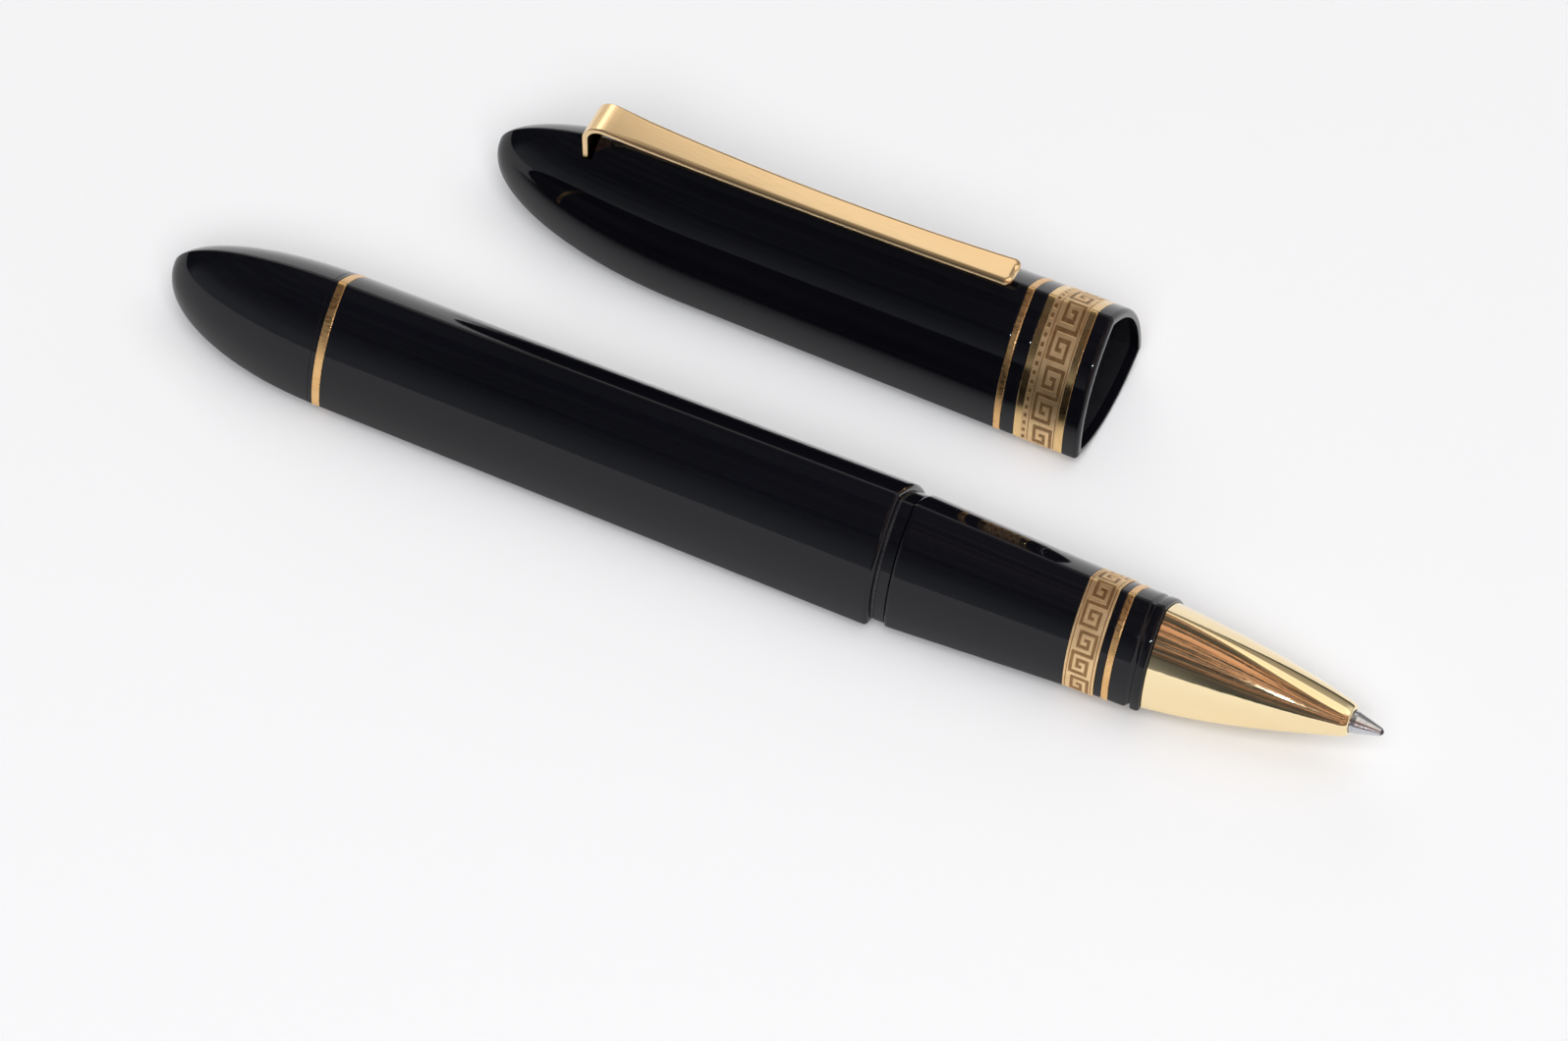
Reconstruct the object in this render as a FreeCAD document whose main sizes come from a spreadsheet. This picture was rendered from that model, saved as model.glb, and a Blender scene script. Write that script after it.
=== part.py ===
"""Rollerball pen with a rounded triangular body, lying beside its cap.

Every outer section is a rounded Reuleaux triangle with one ridge up: three faces, each an arc
about the opposite corner, and three small corner arcs.  Its width is the same in every direction.
The pen lies along X with its tip at +X, the cap lies parallel to it at +Y with its mouth at +X,
and both rest on the plane Z = 0.  The origin is the middle of the whole set's footprint.
"""
import FreeCAD, Part
import Sketcher
import math
import os

DIMENSIONS = (
    # lengths of the pen from the tip of the ball to the end of the tail
    ("tip_reach", 3.4), ("nose_length", 20.6), ("collar_length", 3.4), ("thin_ring_length", 0.75),
    ("spacer_length", 0.8), ("band_length", 3.4), ("section_length", 19.5), ("neck_length", 1.2),
    ("washer_thickness", 0.3), ("barrel_length", 62.5), ("tail_ring_length", 0.95),
    ("flange_length", 0.5), ("tail_length", 18.95),
    # widths of the pen
    ("barrel_front_width", 15.2), ("barrel_rear_width", 14.2), ("tail_ring_width", 14.2),
    ("tail_width", 14.15), ("tail_dome_lead", 1.0), ("section_rear_width", 14.15),
    ("section_front_width", 12.45), ("neck_width", 13.7), ("band_width", 12.45),
    ("spacer_width", 12.15), ("thin_ring_width", 12.2), ("collar_width", 12.0),
    ("collar_groove_width", 11.3), ("collar_rim_width", 12.05), ("collar_groove_start", 1.1),
    ("collar_groove_length", 0.5), ("nose_rear_width", 11.2), ("nose_front_width", 3.4),
    ("ridge_radius", 0.4), ("rim_radius", 0.3),
    # lengths and widths of the cap
    ("lip_length", 1.76), ("cap_band_length", 5.5), ("cap_spacer_length", 1.54),
    ("cap_ring_length", 0.77), ("cap_taper_length", 34.8), ("cap_dome_length", 25.8),
    ("cap_front_width", 16.3), ("cap_rear_width", 15.4), ("cap_ring_width", 16.35),
    ("cap_band_width", 16.4), ("cap_mouth_width", 14.4), ("cap_spigot_width", 15.4),
    ("spigot_in_lip", 0.76),
    ("cap_bore_width", 13.0), ("cap_end_width", 9.0), ("cap_end_depth", 10.8),
    ("liner_length", 11.0), ("liner_wall", 0.6), ("liner_gap", 0.03),
    # how the cap lies: its mouth behind the pen's tip, and its axis beside the pen's
    ("cap_setback", 42.8), ("cap_spacing", 28.7),
    # clip, its slot and its anchor
    ("clip_leg_from_mouth", 59.1), ("clip_reach", 48.2), ("clip_thickness", 0.65),
    ("clip_width", 3.9), ("clip_waist", 3.0), ("clip_end_radius", 0.9),
    ("clip_bend_radius", 1.7), ("clip_height", 10.41), ("clip_curve_radius", 328.0),
    ("clip_waist_at", 28.9), ("clip_waist_radius", 928.0), ("clip_waist_chord", 1.0),
    ("clip_foot_depth", 1.3), ("slot_gap", 0.1), ("slot_front_gap", 0.5),
    ("anchor_diameter", 7.0), ("anchor_length", 7.0), ("anchor_behind_leg", 3.9),
    ("clip_screw_diameter", 2.0), ("clip_screw_length", 2.4), ("screw_head_radius", 1.8),
    ("screw_head_rim", 0.3), ("screw_head_height", 0.8), ("screw_head_top_radius", 1.2),
    # screw joint between the section and the barrel
    ("thread_outer", 10.0), ("thread_root", 9.0), ("thread_pitch", 1.0), ("tenon_length", 8.4),
    ("thread_gap", 0.1), ("insert_outer", 11.6), ("insert_length", 9.0), ("washer_width", 13.4),
    ("barrel_bore", 9.0), ("core_outer", 9.0), ("core_bore", 6.7), ("nose_thread_outer", 7.7),
    ("nose_thread_length", 5.0),
    # tail bush and refill spring
    ("bush_front_length", 7.75), ("bush_rear_outer", 8.4), ("bush_rear_length", 6.0),
    ("bush_bore", 6.6), ("bush_floor", 1.25), ("tail_bore_depth", 8.0),
    ("spring_diameter", 5.0), ("spring_wire", 0.5), ("spring_turns", 8.0),
    # refill, from the ball backwards
    ("refill_length", 110.6), ("ball_radius", 0.35), ("socket_gap", 0.02), ("socket_reach", 0.25),
    ("tip_cone_length", 2.65), ("tip_end_diameter", 0.85), ("shank_diameter", 2.3),
    ("shank_length", 1.1), ("stub_diameter", 1.6), ("stub_length", 2.5), ("ink_hole", 0.3),
    ("refill_diameter", 6.4), ("refill_inner", 5.6), ("refill_nose_length", 17.0),
    ("refill_step_diameter", 4.4), ("refill_step_reach", 10.3), ("refill_front_diameter", 2.3),
    ("refill_nose_plug", 3.0),
    ("end_plug_flange", 1.0), ("end_plug_stub", 3.0), ("wick_diameter", 1.4),
    ("wick_gap", 0.1), ("wick_overlap", 6.0), ("reservoir_diameter", 5.5), ("reservoir_gap", 2.0),
    ("nose_hole_diameter", 2.5), ("nose_step_at", 9.682), ("nose_step_gap", 0.25),
    ("nose_hole_length", 0.618),
)

PEN_LENGTHS = (
    "tip_reach", "nose_length", "collar_length", "thin_ring_length", "spacer_length",
    "band_length", "section_length", "neck_length", "washer_thickness", "barrel_length",
    "tail_ring_length", "flange_length", "tail_length",
)
CAP_LENGTHS = (
    "lip_length", "cap_band_length", "cap_spacer_length", "cap_ring_length",
    "cap_taper_length", "cap_dome_length",
)
DOME_ANGLES = (0, 12, 24, 36, 48, 60, 70, 79, 87)
# the nose narrows slowly at first, and its section turns from a rounded triangle to a circle
NOSE_STEPS, NOSE_BOW, ROUND_CORNER = 6, 0.5, 0.49
# shares of the pitch: the plain root before each thread ridge, one flank, and the crest
THREAD_ROOT_SHARE, THREAD_FLANK_SHARE, THREAD_CREST_SHARE = 0.4, 0.25, 0.15

Vector = FreeCAD.Vector
Constraint = Sketcher.Constraint

doc = FreeCAD.newDocument("RollerballPen")
sheet = doc.addObject("Spreadsheet::Sheet", "Dims")
for row, (alias, number) in enumerate(DIMENSIONS, start=1):
    sheet.set(f"A{row}", alias)
    sheet.set(f"B{row}", str(number))
    sheet.setAlias(f"B{row}", alias)
doc.recompute()


def total(names):
    return "(" + " + ".join("Dims." + name for name in names) + ")" if names else "0"


def pen_front(name):
    """X of the front face of the pen piece whose length is called name."""
    return f"{total(PEN_LENGTHS)} / 2 - {total(PEN_LENGTHS[:PEN_LENGTHS.index(name)])}"


def pen_rear(name):
    return f"{total(PEN_LENGTHS)} / 2 - {total(PEN_LENGTHS[:PEN_LENGTHS.index(name) + 1])}"


CAP_MOUTH = f"{total(PEN_LENGTHS)} / 2 - Dims.cap_setback"


def cap_rear(name):
    return f"{CAP_MOUTH} - {total(CAP_LENGTHS[:CAP_LENGTHS.index(name) + 1])}"


def resting_height(width):
    """Height of the section's centre when one of its faces rests on the table."""
    return f"(({width}) - Dims.ridge_radius) - (({width}) - 2 * Dims.ridge_radius) / sqrt(3)"


WIDTH_DIFFERENCE = "(Dims.barrel_front_width - Dims.cap_band_width) / 2"
PEN_AXIS = (f"({WIDTH_DIFFERENCE} - Dims.cap_spacing) / 2",
            resting_height("Dims.barrel_front_width"))
CAP_AXIS = (f"({WIDTH_DIFFERENCE} + Dims.cap_spacing) / 2", resting_height("Dims.cap_band_width"))

parts = []


def value(expression):
    return float(sheet.evalExpression(expression))


def place(item, along, axis):
    for letter, expression in zip("xyz", (along, axis[0], axis[1])):
        item.setExpression("Placement.Base." + letter, expression)
    parts.append(item)
    return item


def new_part(label, along, axis):
    """A body whose own origin lies on the pen's or the cap's axis."""
    body = doc.addObject("PartDesign::Body", label)
    body.Label = label
    return place(body, along, axis)


def new_sketch(body, name, role):
    plane = next(item for item in body.Origin.OriginFeatures if item.Role == role)
    sketch = body.newObject("Sketcher::SketchObject", name)
    sketch.AttachmentSupport = [(plane, "")]
    sketch.MapMode = "FlatFace"
    return sketch


def drive(sketch, constraint, name, expression):
    index = sketch.addConstraint(constraint)
    sketch.renameConstraint(index, name)
    sketch.setExpression("Constraints." + name, expression)


def rounded_triangle(body, name, width, at="0", radius="Dims.ridge_radius"):
    """A rounded Reuleaux triangle, ridge up, across the axis at the distance at."""
    sketch = new_sketch(body, name, "YZ_Plane")
    corner = value(radius)
    side = value(width) - 2 * corner
    low = -side / (2 * math.sqrt(3))
    near, top, far = Vector(-side / 2, low, 0), Vector(0, -2 * low, 0), Vector(side / 2, low, 0)
    arcs = ((top, side + corner, 240), (far, corner, 300), (near, side + corner, 0),
            (top, corner, 60), (far, side + corner, 120), (near, corner, 180))
    for centre, size, start in arcs:
        circle = Part.Circle(centre, Vector(0, 0, 1), size)
        sketch.addGeometry(Part.ArcOfCircle(circle, math.radians(start), math.radians(start + 60)))
    sketch.addConstraint([Constraint("Tangent", index, 2, index + 1, 1) for index in range(5)])
    sketch.addConstraint([
        Constraint("Vertical", 5, 2, 0, 1), Constraint("Coincident", 0, 3, 3, 3),
        Constraint("Coincident", 2, 3, 5, 3), Constraint("Coincident", 4, 3, 1, 3),
        Constraint("Equal", 1, 3), Constraint("Equal", 3, 5),
        Constraint("PointOnObject", 3, 3, -2), Constraint("Horizontal", 5, 3, 1, 3),
    ])
    drive(sketch, Constraint("Radius", 3, corner), "corner_radius", radius)
    drive(sketch, Constraint("Radius", 0, side + corner), "face_radius", f"({width}) - ({radius})")
    drive(sketch, Constraint("DistanceY", -1, 1, 3, 3, -2 * low), "ridge_centre",
          f"(({width}) - 2 * ({radius})) / sqrt(3)")
    drive(sketch, Constraint("DistanceX", -1, 1, 0, 1, -(side + corner) / 2), "face_start",
          f"-(({width}) - ({radius})) / 2")
    sketch.setExpression("AttachmentOffset.Base.z", at)
    return sketch


def loft(body, name, sections, cut=False):
    """A skin through rounded triangles, each given as (width, distance) or with its radius."""
    sketches = [rounded_triangle(body, f"{name}_{index}", *section)
                for index, section in enumerate(sections)]
    kind = "SubtractiveLoft" if cut else "AdditiveLoft"
    feature = body.newObject("PartDesign::" + kind, name)
    feature.Profile = sketches[0]
    feature.Sections = sketches[1:]
    return feature


def prism(body, name, width, length, at="0", cut=False):
    """A straight length of one rounded triangle, from the distance at towards +X."""
    sketch = rounded_triangle(body, name + "_outline", width, at)
    feature = body.newObject("PartDesign::" + ("Pocket" if cut else "Pad"), name)
    feature.Profile = sketch
    feature.setExpression("Length", length)
    feature.Reversed = cut
    return feature


def dome_sections(width, semi_axis, lead="0"):
    """Sections of a closed end: the width falls off as a quarter ellipse towards -X."""
    last = math.sin(math.radians(DOME_ANGLES[-1]))
    sections = []
    for angle in DOME_ANGLES:
        share = math.sin(math.radians(angle)) / last
        distance = f"{share} * ({semi_axis} - {lead})"
        scale = f"sqrt(1 - ({last} * ({lead} + {distance}) / {semi_axis})^2)"
        sections.append((f"{width} * {scale}", f"-({distance})", f"Dims.ridge_radius * {scale}"))
    return sections


def outline(body, name, points):
    """A closed outline in the body's XZ plane through points given as pairs of expressions."""
    sketch = new_sketch(body, name, "XZ_Plane")
    places = [Vector(value(x), value(z), 0) for x, z in points]
    for index, start in enumerate(places):
        sketch.addGeometry(Part.LineSegment(start, places[(index + 1) % len(places)]))
    for index, (x, z) in enumerate(points):
        sketch.addConstraint(Constraint("Coincident", index - 1 if index else len(points) - 1, 2,
                                        index, 1))
        if x == "0":
            sketch.addConstraint(Constraint("PointOnObject", index, 1, -2))
        else:
            drive(sketch, Constraint("DistanceX", -1, 1, index, 1, places[index].x), f"x{index}", x)
        if z == "0":
            sketch.addConstraint(Constraint("PointOnObject", index, 1, -1))
        else:
            drive(sketch, Constraint("DistanceY", -1, 1, index, 1, places[index].y), f"z{index}", z)
    return sketch


def turned(body, name, points, cut=False):
    """A solid of revolution about the axis, from its half outline."""
    sketch = outline(body, name + "_outline", points)
    feature = body.newObject("PartDesign::" + ("Groove" if cut else "Revolution"), name)
    feature.Profile = sketch
    feature.ReferenceAxis = (sketch, ["H_Axis"])
    feature.Angle = 360
    return feature


def tube_outline(start, end, outer, inner="0"):
    """Half outline of a plain tube or rod between two distances, from its diameters."""
    return ((start, f"{inner} / 2" if inner != "0" else "0"), (start, f"{outer} / 2"),
            (end, f"{outer} / 2"), (end, f"{inner} / 2" if inner != "0" else "0"))


def bore(body, name, start, end, diameter):
    return turned(body, name, tube_outline(start, end, diameter), cut=True)


def bevelled_end(body, name, width, start, end):
    """The last stretch of a piece, where its section closes in towards the end face."""
    return loft(body, name, ((width, start), (f"{width} - Dims.rim_radius", end,
                                              "Dims.ridge_radius - Dims.rim_radius / 2")))


# ---------------------------------------------------------------- barrel and tail
barrel = new_part("barrel", pen_rear("barrel_length"), PEN_AXIS)
SHOULDER = "Dims.barrel_length - Dims.rim_radius"
loft(barrel, "barrel_taper", (("Dims.barrel_rear_width", "0"),
                              ("Dims.barrel_front_width", SHOULDER)))
bevelled_end(barrel, "shoulder", "Dims.barrel_front_width", SHOULDER, "Dims.barrel_length")
bore(barrel, "barrel_bore", "0", "Dims.barrel_length", "Dims.barrel_bore")
bore(barrel, "insert_seat", "Dims.barrel_length - Dims.insert_length", "Dims.barrel_length",
     "Dims.insert_outer")

barrel_insert = new_part("barrel_insert", pen_front("barrel_length") + " - Dims.insert_length",
                         PEN_AXIS)
turned(barrel_insert, "insert", tube_outline("0", "Dims.insert_length", "Dims.insert_outer",
                                             "(Dims.thread_outer + 2 * Dims.thread_gap)"))

tail_ring = new_part("tail_ring", pen_rear("tail_ring_length"), PEN_AXIS)
prism(tail_ring, "ring", "Dims.tail_ring_width", "Dims.tail_ring_length")
bore(tail_ring, "ring_bore", "0", "Dims.tail_ring_length", "Dims.barrel_bore")

tail_bush = new_part("tail_bush", pen_rear("flange_length"), PEN_AXIS)
prism(tail_bush, "flange", "Dims.tail_width", "Dims.flange_length")
turned(tail_bush, "front_stud", tube_outline("0", "Dims.flange_length + Dims.bush_front_length",
                                             "Dims.barrel_bore"))
turned(tail_bush, "rear_stud", tube_outline("-Dims.bush_rear_length", "0",
                                            "Dims.bush_rear_outer"))
bore(tail_bush, "spring_bore", "Dims.bush_floor - Dims.bush_rear_length",
     "Dims.flange_length + Dims.bush_front_length", "Dims.bush_bore")

tail_cap = new_part("tail_cap", pen_rear("flange_length"), PEN_AXIS)
loft(tail_cap, "dome", dome_sections("Dims.tail_width", "(Dims.tail_length + Dims.tail_dome_lead)",
                                     "Dims.tail_dome_lead"))
bore(tail_cap, "stud_bore", "-Dims.tail_bore_depth", "0", "Dims.bush_rear_outer")

SPRING_START = f"{pen_rear('flange_length')} + Dims.bush_floor - Dims.bush_rear_length"
REFILL_REAR = f"{total(PEN_LENGTHS)} / 2 - Dims.refill_length"
refill_spring = new_part("refill_spring", SPRING_START, PEN_AXIS)
wire = new_sketch(refill_spring, "wire", "XZ_Plane")
wire_radius, coil_radius = value("Dims.spring_wire / 2"), value("Dims.spring_diameter / 2")
wire.addGeometry(Part.Circle(Vector(wire_radius, coil_radius, 0), Vector(0, 0, 1), wire_radius))
drive(wire, Constraint("Radius", 0, wire_radius), "wire_radius", "Dims.spring_wire / 2")
drive(wire, Constraint("DistanceX", -1, 1, 0, 3, wire_radius), "wire_start",
      "Dims.spring_wire / 2")
drive(wire, Constraint("DistanceY", -1, 1, 0, 3, coil_radius), "coil_radius",
      "Dims.spring_diameter / 2")
coil = refill_spring.newObject("PartDesign::AdditiveHelix", "coil")
coil.Profile = wire
coil.ReferenceAxis = (wire, ["H_Axis"])
coil.Mode = "height-turns-angle"
coil.setExpression("Height", f"{REFILL_REAR} - ({SPRING_START}) - Dims.spring_wire")
coil.setExpression("Turns", "Dims.spring_turns")

# ---------------------------------------------------------------- section
seat_washer = new_part("seat_washer", pen_rear("washer_thickness"), PEN_AXIS)
prism(seat_washer, "washer", "Dims.washer_width", "Dims.washer_thickness")
bore(seat_washer, "washer_bore", "0", "Dims.washer_thickness",
     "(Dims.thread_outer + 2 * Dims.thread_gap)")

SHELL_LENGTH = "Dims.neck_length + Dims.section_length"
section_shell = new_part("section_shell", pen_rear("neck_length"), PEN_AXIS)
GRIP_REAR = "Dims.neck_length + Dims.rim_radius"
loft(section_shell, "grip", (("Dims.section_rear_width", GRIP_REAR),
                             ("Dims.section_front_width", SHELL_LENGTH)))
bevelled_end(section_shell, "grip_rear", "Dims.section_rear_width", GRIP_REAR, "Dims.neck_length")
prism(section_shell, "neck", "Dims.neck_width", "Dims.neck_length")
bore(section_shell, "core_bore", "0", SHELL_LENGTH, "Dims.core_outer")

for label, width, length in (("section_band", "band_width", "band_length"),
                             ("section_spacer_ring", "spacer_width", "spacer_length"),
                             ("section_thin_ring", "thin_ring_width", "thin_ring_length")):
    ring = new_part(label, pen_rear(length), PEN_AXIS)
    prism(ring, label + "_prism", "Dims." + width, "Dims." + length)
    bore(ring, label + "_bore", "0", "Dims." + length, "Dims.core_outer")

GROOVE_END = "(Dims.collar_length - Dims.collar_groove_start)"
GROOVE_REAR = f"({GROOVE_END} - Dims.collar_groove_length)"
section_collar = new_part("section_collar", pen_rear("collar_length"), PEN_AXIS)
prism(section_collar, "rear_land", "Dims.collar_width", GROOVE_REAR)
prism(section_collar, "groove_floor", "Dims.collar_groove_width", "Dims.collar_groove_length",
      GROOVE_REAR)
prism(section_collar, "front_rim", "Dims.collar_rim_width", "Dims.collar_groove_start", GROOVE_END)
bore(section_collar, "collar_bore", "0", "Dims.collar_length", "Dims.core_outer")

# one brass core carries the whole section: rear thread, seat for the shell and rings, nose thread
CORE_SEAT = f"({total(('collar_length', 'thin_ring_length', 'spacer_length', 'band_length'))}" \
            f" + {SHELL_LENGTH})"
section_core = new_part("section_core", pen_rear("neck_length"), PEN_AXIS)
turned(section_core, "core", tube_outline("-Dims.washer_thickness", CORE_SEAT, "Dims.core_outer",
                                          "Dims.core_bore"))
turned(section_core, "nose_stud", tube_outline(
    CORE_SEAT, f"{CORE_SEAT} + Dims.nose_thread_length", "Dims.nose_thread_outer",
    "Dims.core_bore"))
thread_rear = "(-Dims.washer_thickness - Dims.tenon_length)"
thread_points = [("-Dims.washer_thickness", "Dims.core_bore / 2"),
                 (thread_rear, "Dims.core_bore / 2"), (thread_rear, "Dims.thread_root / 2")]
crest_start = THREAD_FLANK_SHARE
crest_end = crest_start + THREAD_CREST_SHARE
for ridge in range(int(value("Dims.tenon_length / Dims.thread_pitch"))):
    start = f"{thread_rear} + {ridge + THREAD_ROOT_SHARE} * Dims.thread_pitch"
    thread_points += [
        (start, "Dims.thread_root / 2"),
        (f"{start} + {crest_start} * Dims.thread_pitch", "Dims.thread_outer / 2"),
        (f"{start} + {crest_end} * Dims.thread_pitch", "Dims.thread_outer / 2"),
        (f"{start} + {crest_end + THREAD_FLANK_SHARE} * Dims.thread_pitch", "Dims.thread_root / 2")]
thread_points.append(("-Dims.washer_thickness", "Dims.thread_root / 2"))
turned(section_core, "rear_thread", thread_points)

nose_cone = new_part("nose_cone", pen_rear("nose_length"), PEN_AXIS)
nose_sections = []
for step in range(NOSE_STEPS + 1):
    share = step / NOSE_STEPS
    fall = (1 - NOSE_BOW) * share + NOSE_BOW * share ** 2
    width = f"(Dims.nose_rear_width - (Dims.nose_rear_width - Dims.nose_front_width) * {fall})"
    corner = (f"(Dims.ridge_radius + ({ROUND_CORNER} * {width} - Dims.ridge_radius)"
              f" * {share ** 2})")
    nose_sections.append((width, f"{share} * Dims.nose_length", corner))
loft(nose_cone, "nose", nose_sections)
STUD_WALL = "(Dims.core_bore / 2 - Dims.thread_gap)"
turned(nose_cone, "refill_chamber", (
    ("0", "0"), ("0", "Dims.nose_thread_outer / 2"),
    ("Dims.nose_thread_length", "Dims.nose_thread_outer / 2"),
    ("Dims.nose_thread_length", STUD_WALL),
    ("Dims.nose_thread_length + 2 * Dims.thread_gap", STUD_WALL),
    ("Dims.nose_step_at", "Dims.refill_step_diameter / 2 + Dims.nose_step_gap"),
    ("Dims.nose_length - Dims.nose_hole_length", "Dims.nose_hole_diameter / 2"),
    ("Dims.nose_length", "Dims.nose_hole_diameter / 2"), ("Dims.nose_length", "0")), cut=True)

# ---------------------------------------------------------------- refill
PEN_TIP = f"{total(PEN_LENGTHS)} / 2"
BALL_CENTRE = f"{PEN_TIP} - Dims.ball_radius"
writing_ball = doc.addObject("Part::Sphere", "writing_ball")
writing_ball.Label = "writing_ball"
writing_ball.setExpression("Radius", "Dims.ball_radius")
place(writing_ball, BALL_CENTRE, PEN_AXIS)

# the steel tip's origin is the ball's centre
TIP_FRONT = "(Dims.ball_radius - Dims.socket_reach)"
CONE_REAR = f"({TIP_FRONT} - Dims.tip_cone_length)"
SHANK_REAR = f"({CONE_REAR} - Dims.shank_length)"
refill_tip = new_part("refill_tip", BALL_CENTRE, PEN_AXIS)
turned(refill_tip, "tip", (
    (f"{SHANK_REAR} - Dims.stub_length", "Dims.ink_hole / 2"),
    (f"{SHANK_REAR} - Dims.stub_length", "Dims.stub_diameter / 2"),
    (SHANK_REAR, "Dims.stub_diameter / 2"), (SHANK_REAR, "Dims.shank_diameter / 2"),
    (CONE_REAR, "Dims.shank_diameter / 2"), (TIP_FRONT, "Dims.tip_end_diameter / 2"),
    (TIP_FRONT, "Dims.ink_hole / 2")))
socket = new_sketch(refill_tip, "socket_outline", "XZ_Plane")
socket_radius = value("Dims.ball_radius + Dims.socket_gap")
half_circle = Part.ArcOfCircle(Part.Circle(Vector(), Vector(0, 0, 1), socket_radius), 0, math.pi)
socket.addGeometry([half_circle, Part.LineSegment(half_circle.EndPoint, half_circle.StartPoint)])
socket.addConstraint([Constraint("Coincident", 0, 3, -1, 1), Constraint("PointOnObject", 0, 1, -1),
                      Constraint("PointOnObject", 0, 2, -1), Constraint("Coincident", 0, 2, 1, 1),
                      Constraint("Coincident", 0, 1, 1, 2)])
drive(socket, Constraint("Radius", 0, socket_radius), "socket_radius",
      "Dims.ball_radius + Dims.socket_gap")
hollow = refill_tip.newObject("PartDesign::Groove", "ball_socket")
hollow.Profile = socket
hollow.ReferenceAxis = (socket, ["H_Axis"])
hollow.Angle = 360

NOSE_FRONT = f"{BALL_CENTRE} + {SHANK_REAR}"
refill_nose = new_part("refill_nose", NOSE_FRONT, PEN_AXIS)
turned(refill_nose, "ink_feed", (
    ("0", "Dims.stub_diameter / 2"), ("0", "Dims.refill_front_diameter / 2"),
    ("-Dims.refill_step_reach", "Dims.refill_step_diameter / 2"),
    ("-Dims.refill_nose_length", "Dims.refill_step_diameter / 2"),
    ("-Dims.refill_nose_length", "Dims.refill_inner / 2"),
    ("-Dims.refill_nose_length - Dims.refill_nose_plug", "Dims.refill_inner / 2"),
    ("-Dims.refill_nose_length - Dims.refill_nose_plug", "Dims.stub_diameter / 2")))

TUBE_FRONT = f"{NOSE_FRONT} - Dims.refill_nose_length"
TUBE_LENGTH = f"({TUBE_FRONT} - ({REFILL_REAR}) - Dims.end_plug_flange)"
refill_tube = new_part("refill_tube", TUBE_FRONT, PEN_AXIS)
turned(refill_tube, "tube", tube_outline(f"-{TUBE_LENGTH}", "0", "Dims.refill_diameter",
                                         "Dims.refill_inner"))

PLUG_FRONT = "Dims.end_plug_flange + Dims.end_plug_stub"
refill_plug = new_part("refill_plug", REFILL_REAR, PEN_AXIS)
turned(refill_plug, "plug", (
    ("0", "0"), ("0", "Dims.refill_diameter / 2"),
    ("Dims.end_plug_flange", "Dims.refill_diameter / 2"),
    ("Dims.end_plug_flange", "Dims.refill_inner / 2"),
    (PLUG_FRONT, "Dims.refill_inner / 2"), (PLUG_FRONT, "0")))

FELT_FRONT = f"{TUBE_FRONT} - Dims.refill_nose_plug - Dims.wick_gap"
FELT_LENGTH = f"({FELT_FRONT} - ({REFILL_REAR}) - ({PLUG_FRONT}) - Dims.reservoir_gap)"
ink_reservoir = new_part("ink_reservoir", FELT_FRONT, PEN_AXIS)
turned(ink_reservoir, "felt", (
    (f"-{FELT_LENGTH}", "0"), (f"-{FELT_LENGTH}", "Dims.reservoir_diameter / 2"),
    ("0", "Dims.reservoir_diameter / 2"), ("0", "Dims.wick_diameter / 2"),
    ("-Dims.wick_overlap", "Dims.wick_diameter / 2"), ("-Dims.wick_overlap", "0")))

WICK_FRONT = f"{NOSE_FRONT} - ({FELT_FRONT}) - Dims.stub_length - Dims.wick_gap"
ink_wick = new_part("ink_wick", FELT_FRONT, PEN_AXIS)
turned(ink_wick, "wick", (
    ("-Dims.wick_overlap", "0"), ("-Dims.wick_overlap", "Dims.wick_diameter / 2"),
    (f"{WICK_FRONT} - 2 * Dims.wick_gap", "Dims.wick_diameter / 2"),
    (WICK_FRONT, "Dims.wick_diameter / 2 - 2 * Dims.wick_gap"), (WICK_FRONT, "0")))

# ---------------------------------------------------------------- cap
RINGS = total(("cap_ring_length", "cap_spacer_length", "cap_band_length"))
MOUTH_DISTANCE = f"({total(CAP_LENGTHS)} - Dims.cap_dome_length)"
LEG = f"({CAP_MOUTH} - Dims.clip_leg_from_mouth)"
ANCHOR_REAR = f"({LEG} - Dims.anchor_behind_leg)"
LEG_FOOT = "(Dims.anchor_diameter / 2 - Dims.clip_foot_depth)"
SHELL_REAR = cap_rear("cap_taper_length")


def rectangle(sketch, sides):
    """An upright rectangle from its low and high corners, each a pair of expressions."""
    low, high = [Vector(value(x), value(y), 0) for x, y in sides]
    corners = (low, Vector(high.x, low.y, 0), high, Vector(low.x, high.y, 0))
    for index, corner in enumerate(corners):
        sketch.addGeometry(Part.LineSegment(corner, corners[(index + 1) % 4]))
    sketch.addConstraint([Constraint("Coincident", index, 2, (index + 1) % 4, 1)
                          for index in range(4)])
    sketch.addConstraint([Constraint("Horizontal", 0), Constraint("Horizontal", 2),
                          Constraint("Vertical", 1), Constraint("Vertical", 3)])
    for index, (corner, line) in enumerate(((low, 0), (high, 2))):
        drive(sketch, Constraint("DistanceX", -1, 1, line, 1, corner.x), f"x{index}",
              sides[index][0])
        drive(sketch, Constraint("DistanceY", -1, 1, line, 1, corner.y), f"y{index}",
              sides[index][1])


def slot(body, name, centre, floor, ceiling):
    """A slot for the clip's leg, with room in front for the leg's foot to swing."""
    sketch = new_sketch(body, name + "_outline", "XY_Plane")
    rectangle(sketch, ((f"{centre} - Dims.clip_thickness / 2 - Dims.slot_gap",
                        "-Dims.clip_width / 2 - Dims.slot_gap"),
                       (f"{centre} + Dims.clip_thickness / 2 + Dims.slot_front_gap",
                        "Dims.clip_width / 2 + Dims.slot_gap")))
    sketch.setExpression("AttachmentOffset.Base.z", floor)
    feature = body.newObject("PartDesign::Pocket", name)
    feature.Profile = sketch
    feature.Reversed = True
    feature.setExpression("Length", f"{ceiling} - ({floor})")
    return feature


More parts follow.
